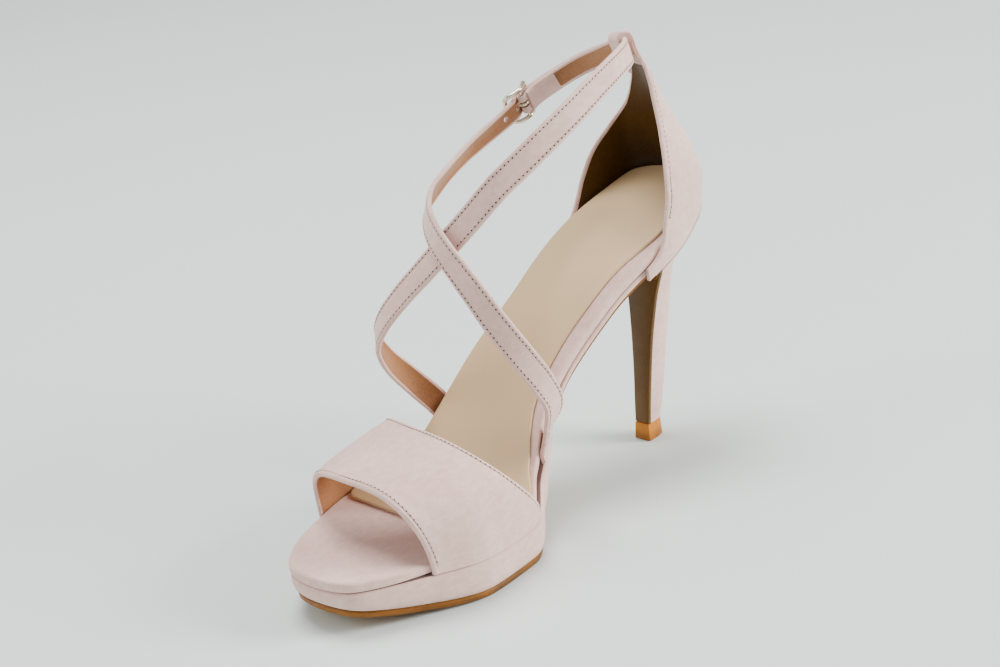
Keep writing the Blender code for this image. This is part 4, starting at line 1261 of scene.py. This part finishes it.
@dataclass
class Straps:
    """The two straps that cross over the instep, with what holds them at the buckle."""

    last: Last
    width: float = 10.0
    end_width: float = 8.2
    thick: float = 1.8
    station: float = 1.05
    foot_blend: float = 18.0
    taper: float = 30.0
    tip_round: float = 5.0
    crown: float = 157.0
    stitch_inset: float = 1.45
    buckle_at: tuple[float, float, float] = (-0.468, 0.583, 0.869)
    buckle_length: float = 14.0
    bow: float = 3.4
    wire: float = 1.7
    bar: float = 1.5
    chape: float = 15.0
    chape_wall: float = 0.8
    seam_overlap: float = 0.3
    tip: float = 38.0
    weave: float = 0.72
    slot: float = 2.3
    free_hole: float = 10.9
    hole: float = 2.2
    feet: tuple[tuple[float, Side], ...] = ((0.531, Side.LATERAL), (0.545, Side.MEDIAL))
    narrows: tuple[float, float] = (0.78, 0.50)
    foot_axis: Table = Table(
        (
            # z as a share of the crown, x of the ball width, y of half the plan length
            (0.00, -0.05, -0.40),
            (0.25, -0.08, -0.10),
            (0.50, -0.08, 0.18),
            (0.75, -0.08, 0.38),
            (1.00, -0.08, 0.42),
            (1.10, -0.08, 0.42),
        )
    )
    route_a: Rows = (
        # x as a share of the ball width, y of half the plan length, z of the crown
        (-0.515, -0.084, 0.304),
        (-0.525, -0.165, 0.370),
        (-0.486, -0.232, 0.438),
        (-0.398, -0.252, 0.500),
        (-0.290, -0.228, 0.564),
        (-0.185, -0.180, 0.624),
        (-0.080, -0.128, 0.684),
        (0.024, -0.072, 0.746),
        (0.117, -0.008, 0.808),
        (0.200, 0.076, 0.861),
        (0.260, 0.172, 0.909),
        (0.291, 0.281, 0.950),
        (0.289, 0.399, 0.983),
        (0.259, 0.520, 1.004),
        (0.187, 0.640, 1.010),
        (0.080, 0.728, 1.002),
        (-0.040, 0.772, 0.986),
        (-0.160, 0.782, 0.965),
        (-0.280, 0.766, 0.940),
        (-0.375, 0.722, 0.912),
    )
    route_b: Rows = (
        (0.362, -0.021, 0.304),
        (0.353, -0.050, 0.366),
        (0.312, -0.088, 0.424),
        (0.256, -0.122, 0.482),
        (0.200, -0.150, 0.536),
        (0.127, -0.164, 0.589),
        (0.045, -0.172, 0.638),
        (-0.050, -0.166, 0.680),
        (-0.156, -0.136, 0.713),
        (-0.262, -0.078, 0.737),
        (-0.345, 0.004, 0.755),
        (-0.404, 0.102, 0.769),
        (-0.438, 0.191, 0.785),
        (-0.458, 0.281, 0.803),
        (-0.468, 0.372, 0.820),
        (-0.470, 0.462, 0.838),
    )

    def body_point(self, row: Sequence[float]) -> Array:
        """A route's row in millimetres."""
        return np.array([row[0] * self.last.ball_width, row[1] * self.last.half_length, row[2] * self.crown])

    def outward(self, points: Array) -> Array:
        """Directions away from the axis of the foot and leg."""
        share = points[:, 2] / self.crown
        x = self.last.ball_width * self.foot_axis.straight(share, 1)
        y = self.last.half_length * self.foot_axis.straight(share, 2)
        return unit(np.stack([points[:, 0] - x, points[:, 1] - y, np.full(len(points), 6.0)], -1))

    def axes(self) -> Axes:
        """The buckle's axes."""
        at = self.body_point(self.buckle_at)
        along = unit(at - self.body_point(self.route_b[-1]))
        out = self.outward(at[None])[0]
        out = unit(out - along * np.dot(out, along))
        return Axes(at, along, out, np.cross(along, out))

    def bow_at(self, t: Array) -> Array:
        """The buckle's height over its middle level at a place along the strap."""
        return self.bow * ((2 * t / (self.buckle_length - self.wire)) ** 2 - 0.45)

    def levels(self) -> tuple[float, float, float]:
        """Heights of the layers: under the buckle's ends, over its bar, and the chape."""
        under = self.bow_at((self.buckle_length - self.wire) / 2) - self.wire / 2 - 2 * GAP - self.thick / 2
        over = self.bow_at(0.0) + self.bar / 2 + 2 * GAP + self.chape_wall + self.thick / 2
        return under, over, under - self.thick - GAP

    def foot(self, strap: int) -> tuple[Array, Array]:
        """A strap's foot on the platform and the direction of the board's edge there."""
        share, side = self.feet[strap]
        last = self.last
        half = self.width / 2 / last.length
        outset = 2 * GAP + self.thick / 2 - last.board_inset(share)
        x, y = last.rim(np.array([share - half, share + half]), side, outset)
        behind, ahead = np.stack([x, y, last.level(y, last.stack.board + GAP) + 2 * GAP], -1)
        return (behind + ahead) / 2, unit(ahead - behind)

    def ribbon(self, strap: int, route: Sequence[Array], rounded: bool = False) -> Ribbon:
        """Works a strap's stations out.

        Args:
            strap: 0 for the strap that holds the buckle, 1 for the other.
            route: the points that it passes.
            rounded: whether its end is a rounded tip.

        Returns:
            The ribbon.
        """
        along_edge = self.foot(strap)[1]
        places, run = curve_through(np.array(route), self.station)
        tangent = unit(np.gradient(places, axis=0))
        away = self.outward(places)
        normal = unit(away - tangent * np.sum(away * tangent, axis=1, keepdims=True))
        across = np.cross(tangent, normal)
        if np.dot(across[0], along_edge) < 0:
            along_edge = -along_edge
        near = 1 - ease(run / self.foot_blend)
        across = unit(across * (1 - near[:, None]) + along_edge * near[:, None])
        out = unit(np.cross(across, tangent))
        out = out * np.sign(np.sum(out * away, axis=1, keepdims=True))
        narrow = ease((run - self.narrows[strap] * run[-1]) / self.taper)
        half = (self.width + (self.end_width - self.width) * narrow) / 2
        if rounded:
            left = np.clip((run[-1] - run) / self.tip_round, 0, 1)
            half = half * np.sqrt(np.clip(1 - (1 - left) ** 2, 0.03, 1))
        return Ribbon(places, run, out, across, half)

    def rise(self, strap: int) -> list[Array]:
        """A strap's foot and the place straight above it."""
        foot = self.foot(strap)[0]
        return [foot, foot + np.array([0.0, 0.0, self.last.stack.board])]

    def holder(self) -> Ribbon:
        """The strap that holds the buckle."""
        axes, chape = self.axes(), self.levels()[2]
        route = self.rise(0) + [self.body_point(row) for row in self.route_a]
        ends = (self.buckle_length / 2, self.bar / 2 + GAP + self.seam_overlap)
        route += [axes.at + axes.along * t + axes.out * chape for t in ends]
        return self.ribbon(0, route)

    def runner(self, holder: Ribbon) -> Ribbon:
        """The strap that goes through the buckle and lies over the other one."""
        axes = self.axes()
        under, over, _ = self.levels()
        reach = self.buckle_length / 2
        route = self.rise(1) + [self.body_point(row) for row in self.route_b]
        for way in (-1.0, -0.75, -0.5, -0.25, 0.0, 0.25, 0.5, 0.75):
            level = under + (over - under) * float(ease(np.array(1 - abs(way) / self.weave)))
            route.append(axes.at + axes.along * way * reach + axes.out * level)
        behind = holder.run[-1] - holder.run
        for gone in np.arange(reach + 3.0, reach + self.tip, 8.0):
            spot = int(np.argmin(np.abs(behind - gone)))
            route.append(holder.places[spot] + holder.out[spot] * (self.thick + GAP))
        return self.ribbon(1, route, rounded=True)

    def section(self, half: float) -> tuple[Array, Array]:
        """A strap's cross-section.

        Args:
            half: half its width.

        Returns:
            Offsets across and outward, a row each, and the finish of each stretch.
        """
        t, r, seam = self.thick / 2, self.thick * 0.42, self.stitch_inset
        groove, flank = 0.08, 0.55
        fold, lining, sunk = 1.1, 1.2, 0.1
        outer = [(-half + r, t), (-half + seam - flank, t), (-half + seam, t - groove)]
        outer += [(-half + seam + flank, t), (-half * 0.3, t + 0.05), (0.0, t + 0.07), (half * 0.3, t + 0.05)]
        outer += [(half - seam - flank, t), (half - seam, t - groove), (half - seam + flank, t)]
        outer += [(half - r, t)]
        turns = [math.radians(a) for a in (60, 30, 0, -30, -60)]
        right = [(half - r + r * math.cos(a), t * math.sin(a)) for a in turns]
        inner = [(half - r, -t), (half - fold, -t), (half - lining, -t + sunk)]
        inner += [(-half + lining, -t + sunk), (-half + fold, -t)]
        left = [(-half + r - r * math.cos(a), t * math.sin(a)) for a in turns[::-1]]
        line = np.array(outer + right + inner + [(-half + r, -t)] + left)
        looks = np.zeros(len(line), int)
        looks[len(outer) + len(right) + 2] = 1
        return line, looks

    def strip(self, sculpt: Sculpt, ribbon: Ribbon) -> None:
        """Adds a strap's solid to a piece.

        Args:
            sculpt: the piece that it goes to.
            ribbon: the strap's course.
        """
        rings, looks = [], None
        for place, out, across, half in zip(ribbon.places, ribbon.out, ribbon.across, ribbon.half):
            line, looks = self.section(max(float(half), 1.0))
            squeeze = min(1.0, float(half) / 1.0)
            rings.append(place + across * line[:, :1] * squeeze + out * line[:, 1:])
        rings = np.array(rings)
        sculpt.grid(rings, looks[None, :], loop=True)
        sculpt.cap(rings[0])
        sculpt.cap(rings[-1])

    def punch(self, thing: bpy.types.Object, place: float, length: float) -> None:
        """Punches an oval hole through a strap.

        Args:
            thing: the strap's object.
            place: its place along the strap, from the buckle's middle.
            length: the hole's length.
        """
        axes = self.axes()
        middle = axes.at + axes.along * place
        turn = np.linspace(0, 2 * math.pi, 24, endpoint=False)
        rings = np.array(
            [
                [
                    middle
                    + axes.out * end
                    + axes.along * math.cos(a) * length / 2
                    + axes.up * math.sin(a) * self.hole / 2
                    for a in turn
                ]
                for end in (-3.0, 4.0)
            ]
        )
        sculpt = Sculpt("punch", self.last.origin)
        sculpt.tube(rings)
        cutter = sculpt.finish([])
        step = thing.modifiers.new("hole", "BOOLEAN")
        step.operation = "DIFFERENCE"
        step.object = cutter
        step.solver = "EXACT"
        bpy.context.view_layer.update()
        made = bpy.data.meshes.new_from_object(thing.evaluated_get(bpy.context.evaluated_depsgraph_get()))
        thing.modifiers.clear()
        thing.data = made
        made.set_sharp_from_angle(angle=math.radians(50))
        bpy.data.objects.remove(cutter)

    def fold_back(self, sculpt: Sculpt, holder: Ribbon) -> None:
        """Adds the chape: two leather loops round the bar and their end sewn under the strap.

        Args:
            sculpt: the piece that it goes to.
            holder: the strap that holds the buckle.
        """
        axes = self.axes()
        keep = holder.run > holder.run[-1] - self.chape
        depth = (self.thick + self.chape_wall) / 2 - self.seam_overlap
        half, t = self.end_width / 2 - 0.15, self.chape_wall / 2
        turns = np.linspace(0, 2 * math.pi, 20, endpoint=False)
        line = np.array(
            [(half * np.sign(math.cos(a)) * abs(math.cos(a)) ** 0.2, t * math.sin(a)) for a in turns]
        )
        rings = []
        for place, out, across in zip(holder.places[keep], holder.out[keep], holder.across[keep]):
            rings.append(place - out * depth + across * line[:, :1] + out * line[:, 1:])
        sculpt.tube(np.array(rings))
        wide = (self.end_width - self.slot) / 2 - self.seam_overlap
        hollow = self.bar / 2 + GAP
        mid = hollow + self.chape_wall / 2
        for side in (1, -1):
            centre = axes.at + axes.out * self.bow_at(0.0) + axes.up * side * (self.slot + wide) / 2
            rings = []
            for a in np.linspace(0, 2 * math.pi, 40, endpoint=False):
                radial = axes.along * math.cos(a) + axes.out * math.sin(a)
                shape = [
                    centre
                    + radial * (mid + self.chape_wall / 2 * math.sin(b))
                    + axes.up * wide / 2 * np.sign(math.cos(b)) * abs(math.cos(b)) ** 0.3
                    for b in np.linspace(0, 2 * math.pi, 14, endpoint=False)
                ]
                rings.append(shape)
            rings.append(rings[0])
            sculpt.grid(np.array(rings), 0, loop=True)

    def stitch(self, wardrobe: Wardrobe, ribbons: Sequence[tuple[Ribbon, float, float]]) -> None:
        """Sews two rows along each strap.

        Args:
            wardrobe: the finishes.
            ribbons: each strap's course, and what stays bare at its start and its end.
        """
        stitching = Stitching(self.last)
        for ribbon, first, end in ribbons:
            keep = (ribbon.run > first) & (ribbon.run < ribbon.run[-1] - end)
            for side in (1, -1):
                reach = (ribbon.half[keep] - self.stitch_inset)[:, None] * side
                lift = self.thick / 2 - 0.05
                path = ribbon.places[keep] + ribbon.across[keep] * reach + ribbon.out[keep] * lift
                stitching.row(path, ribbon.out[keep])
        stitching.build("strap_stitches", wardrobe, "cross_straps")

    def build(self, wardrobe: Wardrobe) -> Ribbon:
        """Builds both straps, the chape and the stitches.

        Args:
            wardrobe: the finishes.

        Returns:
            The ribbon of the strap that holds the buckle, which the heel cup's loop goes round.
        """
        holder = self.holder()
        runner = self.runner(holder)
        looks = [wardrobe.suede, wardrobe.lining]
        sculpt = Sculpt("buckle_strap", self.last.origin)
        self.strip(sculpt, holder)
        self.fold_back(sculpt, holder)
        dress(sculpt.finish(looks), "cross_straps", "cross_straps")
        sculpt = Sculpt("tip_strap", self.last.origin)
        self.strip(sculpt, runner)
        thing = sculpt.finish(looks)
        self.punch(thing, -self.free_hole, self.hole)
        self.punch(thing, -2.6, 5.0)
        dress(thing, "cross_straps", "cross_straps")
        self.stitch(wardrobe, ((holder, 2.0, 20.0), (runner, 2.0, 3.0)))
        return holder


@dataclass
class Loop:
    """The heel cup's top, folded forward over the ankle strap."""

    last: Last
    counter: Counter
    straps: Straps
    width: float = 13.0
    wall: float = 1.6
    slack: float = 1.0
    base: tuple[float, ...] = (0.84, 0.92)

    def line(self, holder: Ribbon, middle: float, step: float) -> tuple[Array, Array]:
        """The middle of the loop's wall at one place across it.

        Args:
            holder: the strap.
            middle: the distance along the strap of the loop's middle.
            step: the place across the loop.

        Returns:
            The points, from inside the cup's wall up and over, and the strap's direction.
        """
        counter, straps = self.counter, self.straps
        here, out, across = holder.at(middle + step)
        up = across if across[2] > 0 else -across
        points = []
        for share in self.base:
            height = counter.height * share
            scale = float(counter.back.smooth(np.array(share), 2))
            point, face = counter.plan_point(np.array(-step / (counter.way * scale)), np.array(height))
            points.append((*(point - face * counter.wall / 2), self.last.z[0] + height))
        near = straps.thick / 2 + GAP + self.wall / 2
        far = near + self.slack
        half = straps.width / 2
        over = [(far, -0.2 * half), (far, 0.5 * half)]
        for turn in np.linspace(0, math.pi, 7)[1:-1]:
            reach = far if turn < math.pi / 2 else near
            over.append((reach * math.cos(turn), half + GAP - near / 2 + near * math.sin(turn)))
        over += [(-near, 0.7 * half), (-near, -0.7 * half)]
        points += [here + out * a + up * b for a, b in over]
        ahead = np.cross(across, out)
        return curve_through(np.array(points), 0.6)[0], ahead

    def build(self, wardrobe: Wardrobe, holder: Ribbon) -> None:
        """Builds the loop with softly rounded sides."""
        back, _ = self.counter.plan_point(np.array(0.0), np.array(self.counter.height))
        behind = holder.places[:, 1] > 0.5 * self.last.half_length
        middle = holder.run[behind][np.argmin(np.abs(holder.places[behind, 0] - back[0]))]
        rings = []
        count = 44
        for turn in np.linspace(-1, 1, 25):
            step = self.width / 2 * math.sin(turn * math.pi / 2)
            line, ahead = self.line(holder, middle, step)
            spots = np.linspace(0, len(line) - 1, count)
            line = np.stack([np.interp(spots, np.arange(len(line)), line[:, k]) for k in range(3)], -1)
            edge = abs(step) / (self.width / 2)
            round_off = math.sqrt(max(0.02, 1 - max(0.0, (edge - 0.9) / 0.1) ** 2))
            square = unit(np.cross(np.gradient(line, axis=0), ahead)) * self.wall / 2 * round_off
            rings.append(np.concatenate([line + square, (line - square)[::-1]]))
        sculpt = Sculpt("cup_loop", self.last.origin)
        sculpt.tube(np.array(rings))
        dress(sculpt.finish([wardrobe.suede]), "counter", "counter")


@dataclass
class Buckle:
    """The wire frame with its bar and the prong on it."""

    last: Last
    straps: Straps
    height: float = 13.4
    squareness: float = 6.0
    prong: float = 1.3
    eye_wall: float = 0.8
    arch: float = 1.7
    past: float = 0.9

    def frame(self, wardrobe: Wardrobe) -> None:
        """Builds the rounded oblong of wire and the bar."""
        straps, axes = self.straps, self.straps.axes()
        long, high = (straps.buckle_length - straps.wire) / 2, (self.height - straps.wire) / 2
        turn = np.linspace(0, 2 * math.pi, 97)
        power = 2 / self.squareness
        t = long * np.sign(np.cos(turn)) * np.abs(np.cos(turn)) ** power
        h = high * np.sign(np.sin(turn)) * np.abs(np.sin(turn)) ** power
        line = axes.at + np.outer(t, axes.along) + np.outer(h, axes.up) + np.outer(straps.bow_at(t), axes.out)
        line, _ = curve_through(line, 0.5)
        ahead = unit(np.roll(line[:-1], -1, axis=0) - np.roll(line[:-1], 1, axis=0))
        ahead = np.vstack([ahead, ahead[:1]])
        side = unit(np.cross(ahead, axes.out))
        lift = np.cross(side, ahead)
        round_turn = np.linspace(0, 2 * math.pi, 16, endpoint=False)
        rings = [
            line + straps.wire / 2 * (side * math.cos(a) + lift * math.sin(a)) for a in round_turn
        ]
        sculpt = Sculpt("buckle_wire", self.last.origin)
        sculpt.grid(np.stack(rings, 1), 0, loop=True)
        bar = np.array(
            [
                [
                    axes.at
                    + axes.out * (straps.bow_at(0.0) + straps.bar / 2 * math.sin(a))
                    + axes.along * straps.bar / 2 * math.cos(a)
                    + axes.up * end * high
                    for a in round_turn
                ]
                for end in (-1, 1)
            ]
        )
        sculpt.tube(bar)
        dress(sculpt.finish([wardrobe.metal]), "buckle_frame", "buckle_frame")

    def tongue(self, wardrobe: Wardrobe) -> None:
        """Builds the prong: an eye round the bar and a pin that rests on the frame's end."""
        straps, axes = self.straps, self.straps.axes()
        centre = axes.at + axes.out * straps.bow_at(0.0)
        hollow = straps.bar / 2 + GAP
        reach = (straps.buckle_length - straps.wire) / 2
        rest = straps.bow_at(reach) + straps.wire / 2 + GAP + self.prong / 2
        tip = axes.at - axes.along * (reach + self.past) + axes.out * rest
        start = centre - axes.along * (hollow + self.eye_wall / 2)
        sculpt = Sculpt("buckle_tongue", self.last.origin)
        eye = []
        for a in np.linspace(0, 2 * math.pi, 33):
            radial = axes.along * math.cos(a) + axes.out * math.sin(a)
            eye.append(
                [
                    centre
                    + radial * (hollow + self.eye_wall / 2 * (1 + math.sin(b)))
                    + axes.up * self.prong / 2 * math.cos(b)
                    for b in np.linspace(0, 2 * math.pi, 12, endpoint=False)
                ]
            )
        sculpt.grid(np.array(eye), 0, loop=True)
        rings = []
        for t in np.linspace(0, 1, 25):
            middle = start * (1 - t) + tip * t + axes.out * self.arch * math.sin(math.pi * t)
            round_off = math.sqrt(max(0.02, 1 - max(0.0, (t - 0.94) / 0.06) ** 2))
            size = self.prong / 2 * (1.0 - 0.28 * t**3) * round_off
            turn = np.linspace(0, 2 * math.pi, 14, endpoint=False)
            rings.append([middle + size * (axes.up * math.cos(a) + axes.out * math.sin(a)) for a in turn])
        sculpt.tube(np.array(rings))
        dress(sculpt.finish([wardrobe.metal]), "buckle_prong", "buckle_prong")

    def build(self, wardrobe: Wardrobe) -> None:
        """Builds the frame and the prong."""
        self.frame(wardrobe)
        self.tongue(wardrobe)


@dataclass
class Heel:
    """The covered stiletto heel, the leather down its front and its top piece."""

    last: Last
    wall: float = 1.9
    depth: float = 6.8
    shift: float = 1.0
    half_width: float = 3.4
    set_forward: float = 31.7
    sections: Table = Table(
        (
            # share of the stem's height, half width, front and back as shares of the tip's sizes
            (0.00, 1.00, 1.000, 0.732),
            (0.12, 1.06, 0.978, 0.656),
            (0.28, 1.16, 0.940, 0.584),
            (0.52, 1.41, 0.886, 0.492),
            (0.68, 1.71, 0.845, 0.423),
            (0.82, 2.06, 0.808, 0.397),
            (1.00, 2.74, 0.744, 0.347),
        )
    )
    stem: float = 70.0
    flare: float = 1.9
    cover: float = 1.2
    top_piece: float = 7.0
    spread: float = 0.35
    bevel: float = 0.3
    front_points: int = 9
    back_points: int = 73
    platform_draft: float = 2.2
    outsole_inset: float = 2.2
    outsole_under: float = 0.357

    def d_loop(self, half: float, front: float, back: float, height: float) -> Array:
        """A section of the stem: flat in front, round behind."""
        near, far = self.last.y[0] - front, self.last.y[0] - back
        line = [(self.shift + half * t, near, height) for t in np.linspace(-1, 1, self.front_points)]
        arc = []
        for a in np.linspace(0, math.pi, self.back_points)[1:-1]:
            c, s = math.cos(a), math.sin(a)
            x = self.shift + half * math.copysign(abs(c) ** 0.85, c)
            arc.append((x, near + (far - near) * s**0.85, height))
        return np.array(line + arc)

    def seat_loop(self, outset: float, depth: float) -> Array:
        """A section of the heel at the seat, along the edge of the insole board."""
        last = self.last
        breast = last.stack.breast
        inset = max(self.platform_draft, self.outsole_inset + self.outsole_under)
        edge = float(last.platform_outset(breast))
        places = [(side, edge - move) for side in Side for move in (0.0, inset)]
        corners = [last.rim(np.array([breast]), side, at)[1][0] for side, at in places]
        front_y = max(corners) + GAP
        first = float(last.share_at(front_y))
        share = shares_between(first, 0.0, (self.back_points + 1) // 2)
        medial = np.stack(last.rim(share, Side.MEDIAL, outset), -1)
        lateral = np.stack(last.rim(share, Side.LATERAL, outset), -1)[::-1][1:]
        ring = np.concatenate([medial, lateral])
        ring[0, 1] = ring[-1, 1] = front_y
        line = [(ring[-1] * (1 - t) + ring[0] * t) for t in np.linspace(0, 1, self.front_points)]
        plan = np.concatenate([np.array(line), ring[1:-1]])
        return np.column_stack([plan, last.level(plan[:, 1], depth)])

    def loops(self) -> Array:
        """The heel's loops from the seat down to the top piece."""
        seat = self.seat_loop(GAP + self.wall, self.depth + GAP)
        base = self.top_piece + GAP
        stem = []
        for share in np.linspace(1.0, 0.0, 46):
            half, front, back = (float(self.sections.smooth(np.array(share), k)) for k in (1, 2, 3))
            stem.append(
                self.d_loop(
                    self.half_width * half,
                    self.set_forward * front,
                    self.set_forward * back,
                    base + (self.stem - base) * share,
                )
            )
        high = stem[0]
        flare = []
        for t in np.linspace(1.0, 0.0, 30)[:-1]:
            loop = high + (seat - high) * t**self.flare
            loop[:, 2] = high[:, 2] + (seat[:, 2] - high[:, 2]) * t
            flare.append(loop)
        return np.array(flare + stem)

    def block(self, wardrobe: Wardrobe, loops: Array) -> None:
        """Builds the covered block."""
        sculpt = Sculpt("heel_cover", self.last.origin)
        inner = self.seat_loop(0.0, self.depth + GAP)
        top = self.seat_loop(0.0, self.last.stack.board + GAP)
        sculpt.tube(np.concatenate([[top, inner], loops]))
        dress(sculpt.finish([wardrobe.heel_suede]), "heel", "heel")

    def breast_leather(self, wardrobe: Wardrobe, loops: Array) -> None:
        """Builds the sole leather that runs down the heel's front."""
        end = self.front_points - 1
        line = loops[:, 0, 1:]
        course = unit(np.gradient(line, axis=0))
        out = np.stack([np.zeros(len(line)), course[:, 1], -course[:, 0]], -1)
        left, right = loops[:, 0], loops[:, end]
        across = unit(right - left)
        section = ((0.0, 0.0), (0.0, 0.75), (0.12, 0.93), (0.35, 1.0))
        rows = [left + across * inset + out * (GAP + self.cover * lift) for inset, lift in section]
        rows += [right - across * inset + out * (GAP + self.cover * lift) for inset, lift in section[::-1]]
        rings = np.stack(rows, 1)
        rings[0, :, 2] = self.last.under(rings[0, :, 1]) - GAP
        below = rings[:, :, 2].max(axis=1) < rings[0, :, 2].min() - GAP
        below[0] = True
        sculpt = Sculpt("breast_leather", self.last.origin)
        sculpt.tube(rings[below])
        # Its darker tone is painted shade under the heel's seat.
        dress(sculpt.finish([wardrobe.breast]), "breast_cover", "breast_cover")

    def lift(self, wardrobe: Wardrobe) -> None:
        """Builds the top piece with its softened edges."""
        _, half, front, back = self.sections.rows[0]
        full, bevel = self.top_piece, self.bevel
        steps = ((self.spread - bevel, 0.0), (self.spread - 0.09, 0.09), (self.spread, bevel))
        steps += ((0.5 * self.spread, full / 2), (0.0, full - bevel), (-0.09, full - 0.09), (-bevel, full))
        rings = [
            self.d_loop(
                self.half_width * half + grow,
                self.set_forward * front + self.cover + GAP + grow,
                self.set_forward * back - grow,
                z,
            )
            for grow, z in steps
        ]
        sculpt = Sculpt("heel_lift", self.last.origin)
        sculpt.tube(np.array(rings))
        dress(sculpt.finish([wardrobe.lift], 40.0), "top_piece", "top_piece")

    def build(self, wardrobe: Wardrobe) -> None:
        """Builds the heel's three pieces."""
        loops = self.loops()
        self.block(wardrobe, loops)
        self.breast_leather(wardrobe, loops)
        self.lift(wardrobe)


@dataclass
class Studio:
    """The floor, the soft light and the camera."""

    last: Last
    camera_at: tuple[float, float, float] = (0.54366, -0.53086, 0.35742)
    azimuth: float = 45.58
    elevation: float = 20.71
    roll: float = -6.41
    lens: float = 80.76
    floor: float = 8.0

    def camera(self) -> None:
        """Sets the camera at the photo's angle to the shoe."""
        az, el = math.radians(self.azimuth), math.radians(self.elevation)
        back = Vector((math.cos(el) * math.sin(az), -math.cos(el) * math.cos(az), math.sin(el)))
        right = Vector((0, 0, 1)).cross(back).normalized()
        turn = Matrix.Rotation(math.radians(self.roll), 3, back)
        right = turn @ right
        up = back.cross(right)
        data = bpy.data.cameras.new("camera")
        data.lens = self.lens
        data.sensor_width = 36.0
        data.clip_start = 0.01
        thing = bpy.data.objects.new("camera", data)
        bpy.context.scene.collection.objects.link(thing)
        place = Vector(self.camera_at) + Vector(self.last.origin) * MM
        thing.matrix_world = Matrix.Translation(place) @ Matrix((right, up, back)).transposed().to_4x4()
        bpy.context.scene.camera = thing

    def light(
        self, name: str, place: Sequence[float], size: float, power: float, tint: Sequence[float]
    ) -> None:
        """Adds a softbox that faces the shoe.

        Args:
            name: the light's name.
            place: where it hangs, in metres.
            size: its width, in metres.
            power: its power, in watts.
            tint: its colour.
        """
        data = bpy.data.lights.new(name, "AREA")
        data.shape = "SQUARE"
        data.size = size
        data.energy = power
        data.color = tint
        thing = bpy.data.objects.new(name, data)
        thing.location = place
        thing.rotation_euler = (Vector(place) - Vector((0, 0, 0.05))).to_track_quat("Z", "Y").to_euler()
        bpy.context.scene.collection.objects.link(thing)

    def stage(self) -> None:
        """Lays the pale floor."""
        sculpt = Sculpt("floor", np.zeros(3))
        half = self.floor / 2 / MM
        line = np.linspace(-half, half, 9)
        x, y = np.meshgrid(line, line)
        sculpt.grid(np.stack([x, y, np.zeros_like(x)], -1))
        wiring, shader = Finish("floor", (0, 0, 0), (0, 0, 0)).start()
        tone = wiring.span(wiring.noise(wiring.place(), 1.2, 2.0), 0.2, 0.8)
        colour = wiring.blend(tone, paint(213, 223, 220), paint(220, 229, 226))
        wiring.feed(shader.inputs["Base Color"], colour)
        shader.inputs["Roughness"].default_value = 0.42
        shader.inputs["Specular IOR Level"].default_value = 0.25
        floor = sculpt.finish([bpy.data.materials["floor"]])

    def build(self) -> None:
        """Sets everything up."""
        self.camera()
        self.stage()
        self.light("top", (-0.4, 0.1, 1.6), 0.8, 31.0, (1.0, 0.99, 0.97))
        self.light("side", (1.3, 1.0, 0.8), 0.8, 56.0, (1.0, 0.98, 0.96))
        self.light("front", (-0.9, -1.3, 0.9), 1.0, 12.0, (0.98, 0.99, 1.0))
        world = bpy.data.worlds.new("studio")
        world.use_nodes = True
        world.node_tree.nodes["Background"].inputs["Color"].default_value = (0.93, 0.96, 0.97, 1.0)
        world.node_tree.nodes["Background"].inputs["Strength"].default_value = 0.62
        bpy.context.scene.world = world


def main() -> None:
    """Dresses the sandal and sets the studio."""
    logging.basicConfig(level=logging.INFO, format="%(message)s")
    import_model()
    last = Last()
    last.settle()
    wardrobe = Wardrobe()
    Studio(last).build()
    SolePlates(last).build(wardrobe)
    Vamp(last).build(wardrobe)
    counter = Counter(last)
    counter.build(wardrobe)
    straps = Straps(last)
    holder = straps.build(wardrobe)
    Loop(last, counter, straps).build(wardrobe, holder)
    Buckle(last, straps).build(wardrobe)
    Heel(last).build(wardrobe)


if __name__ == "__main__":
    main()
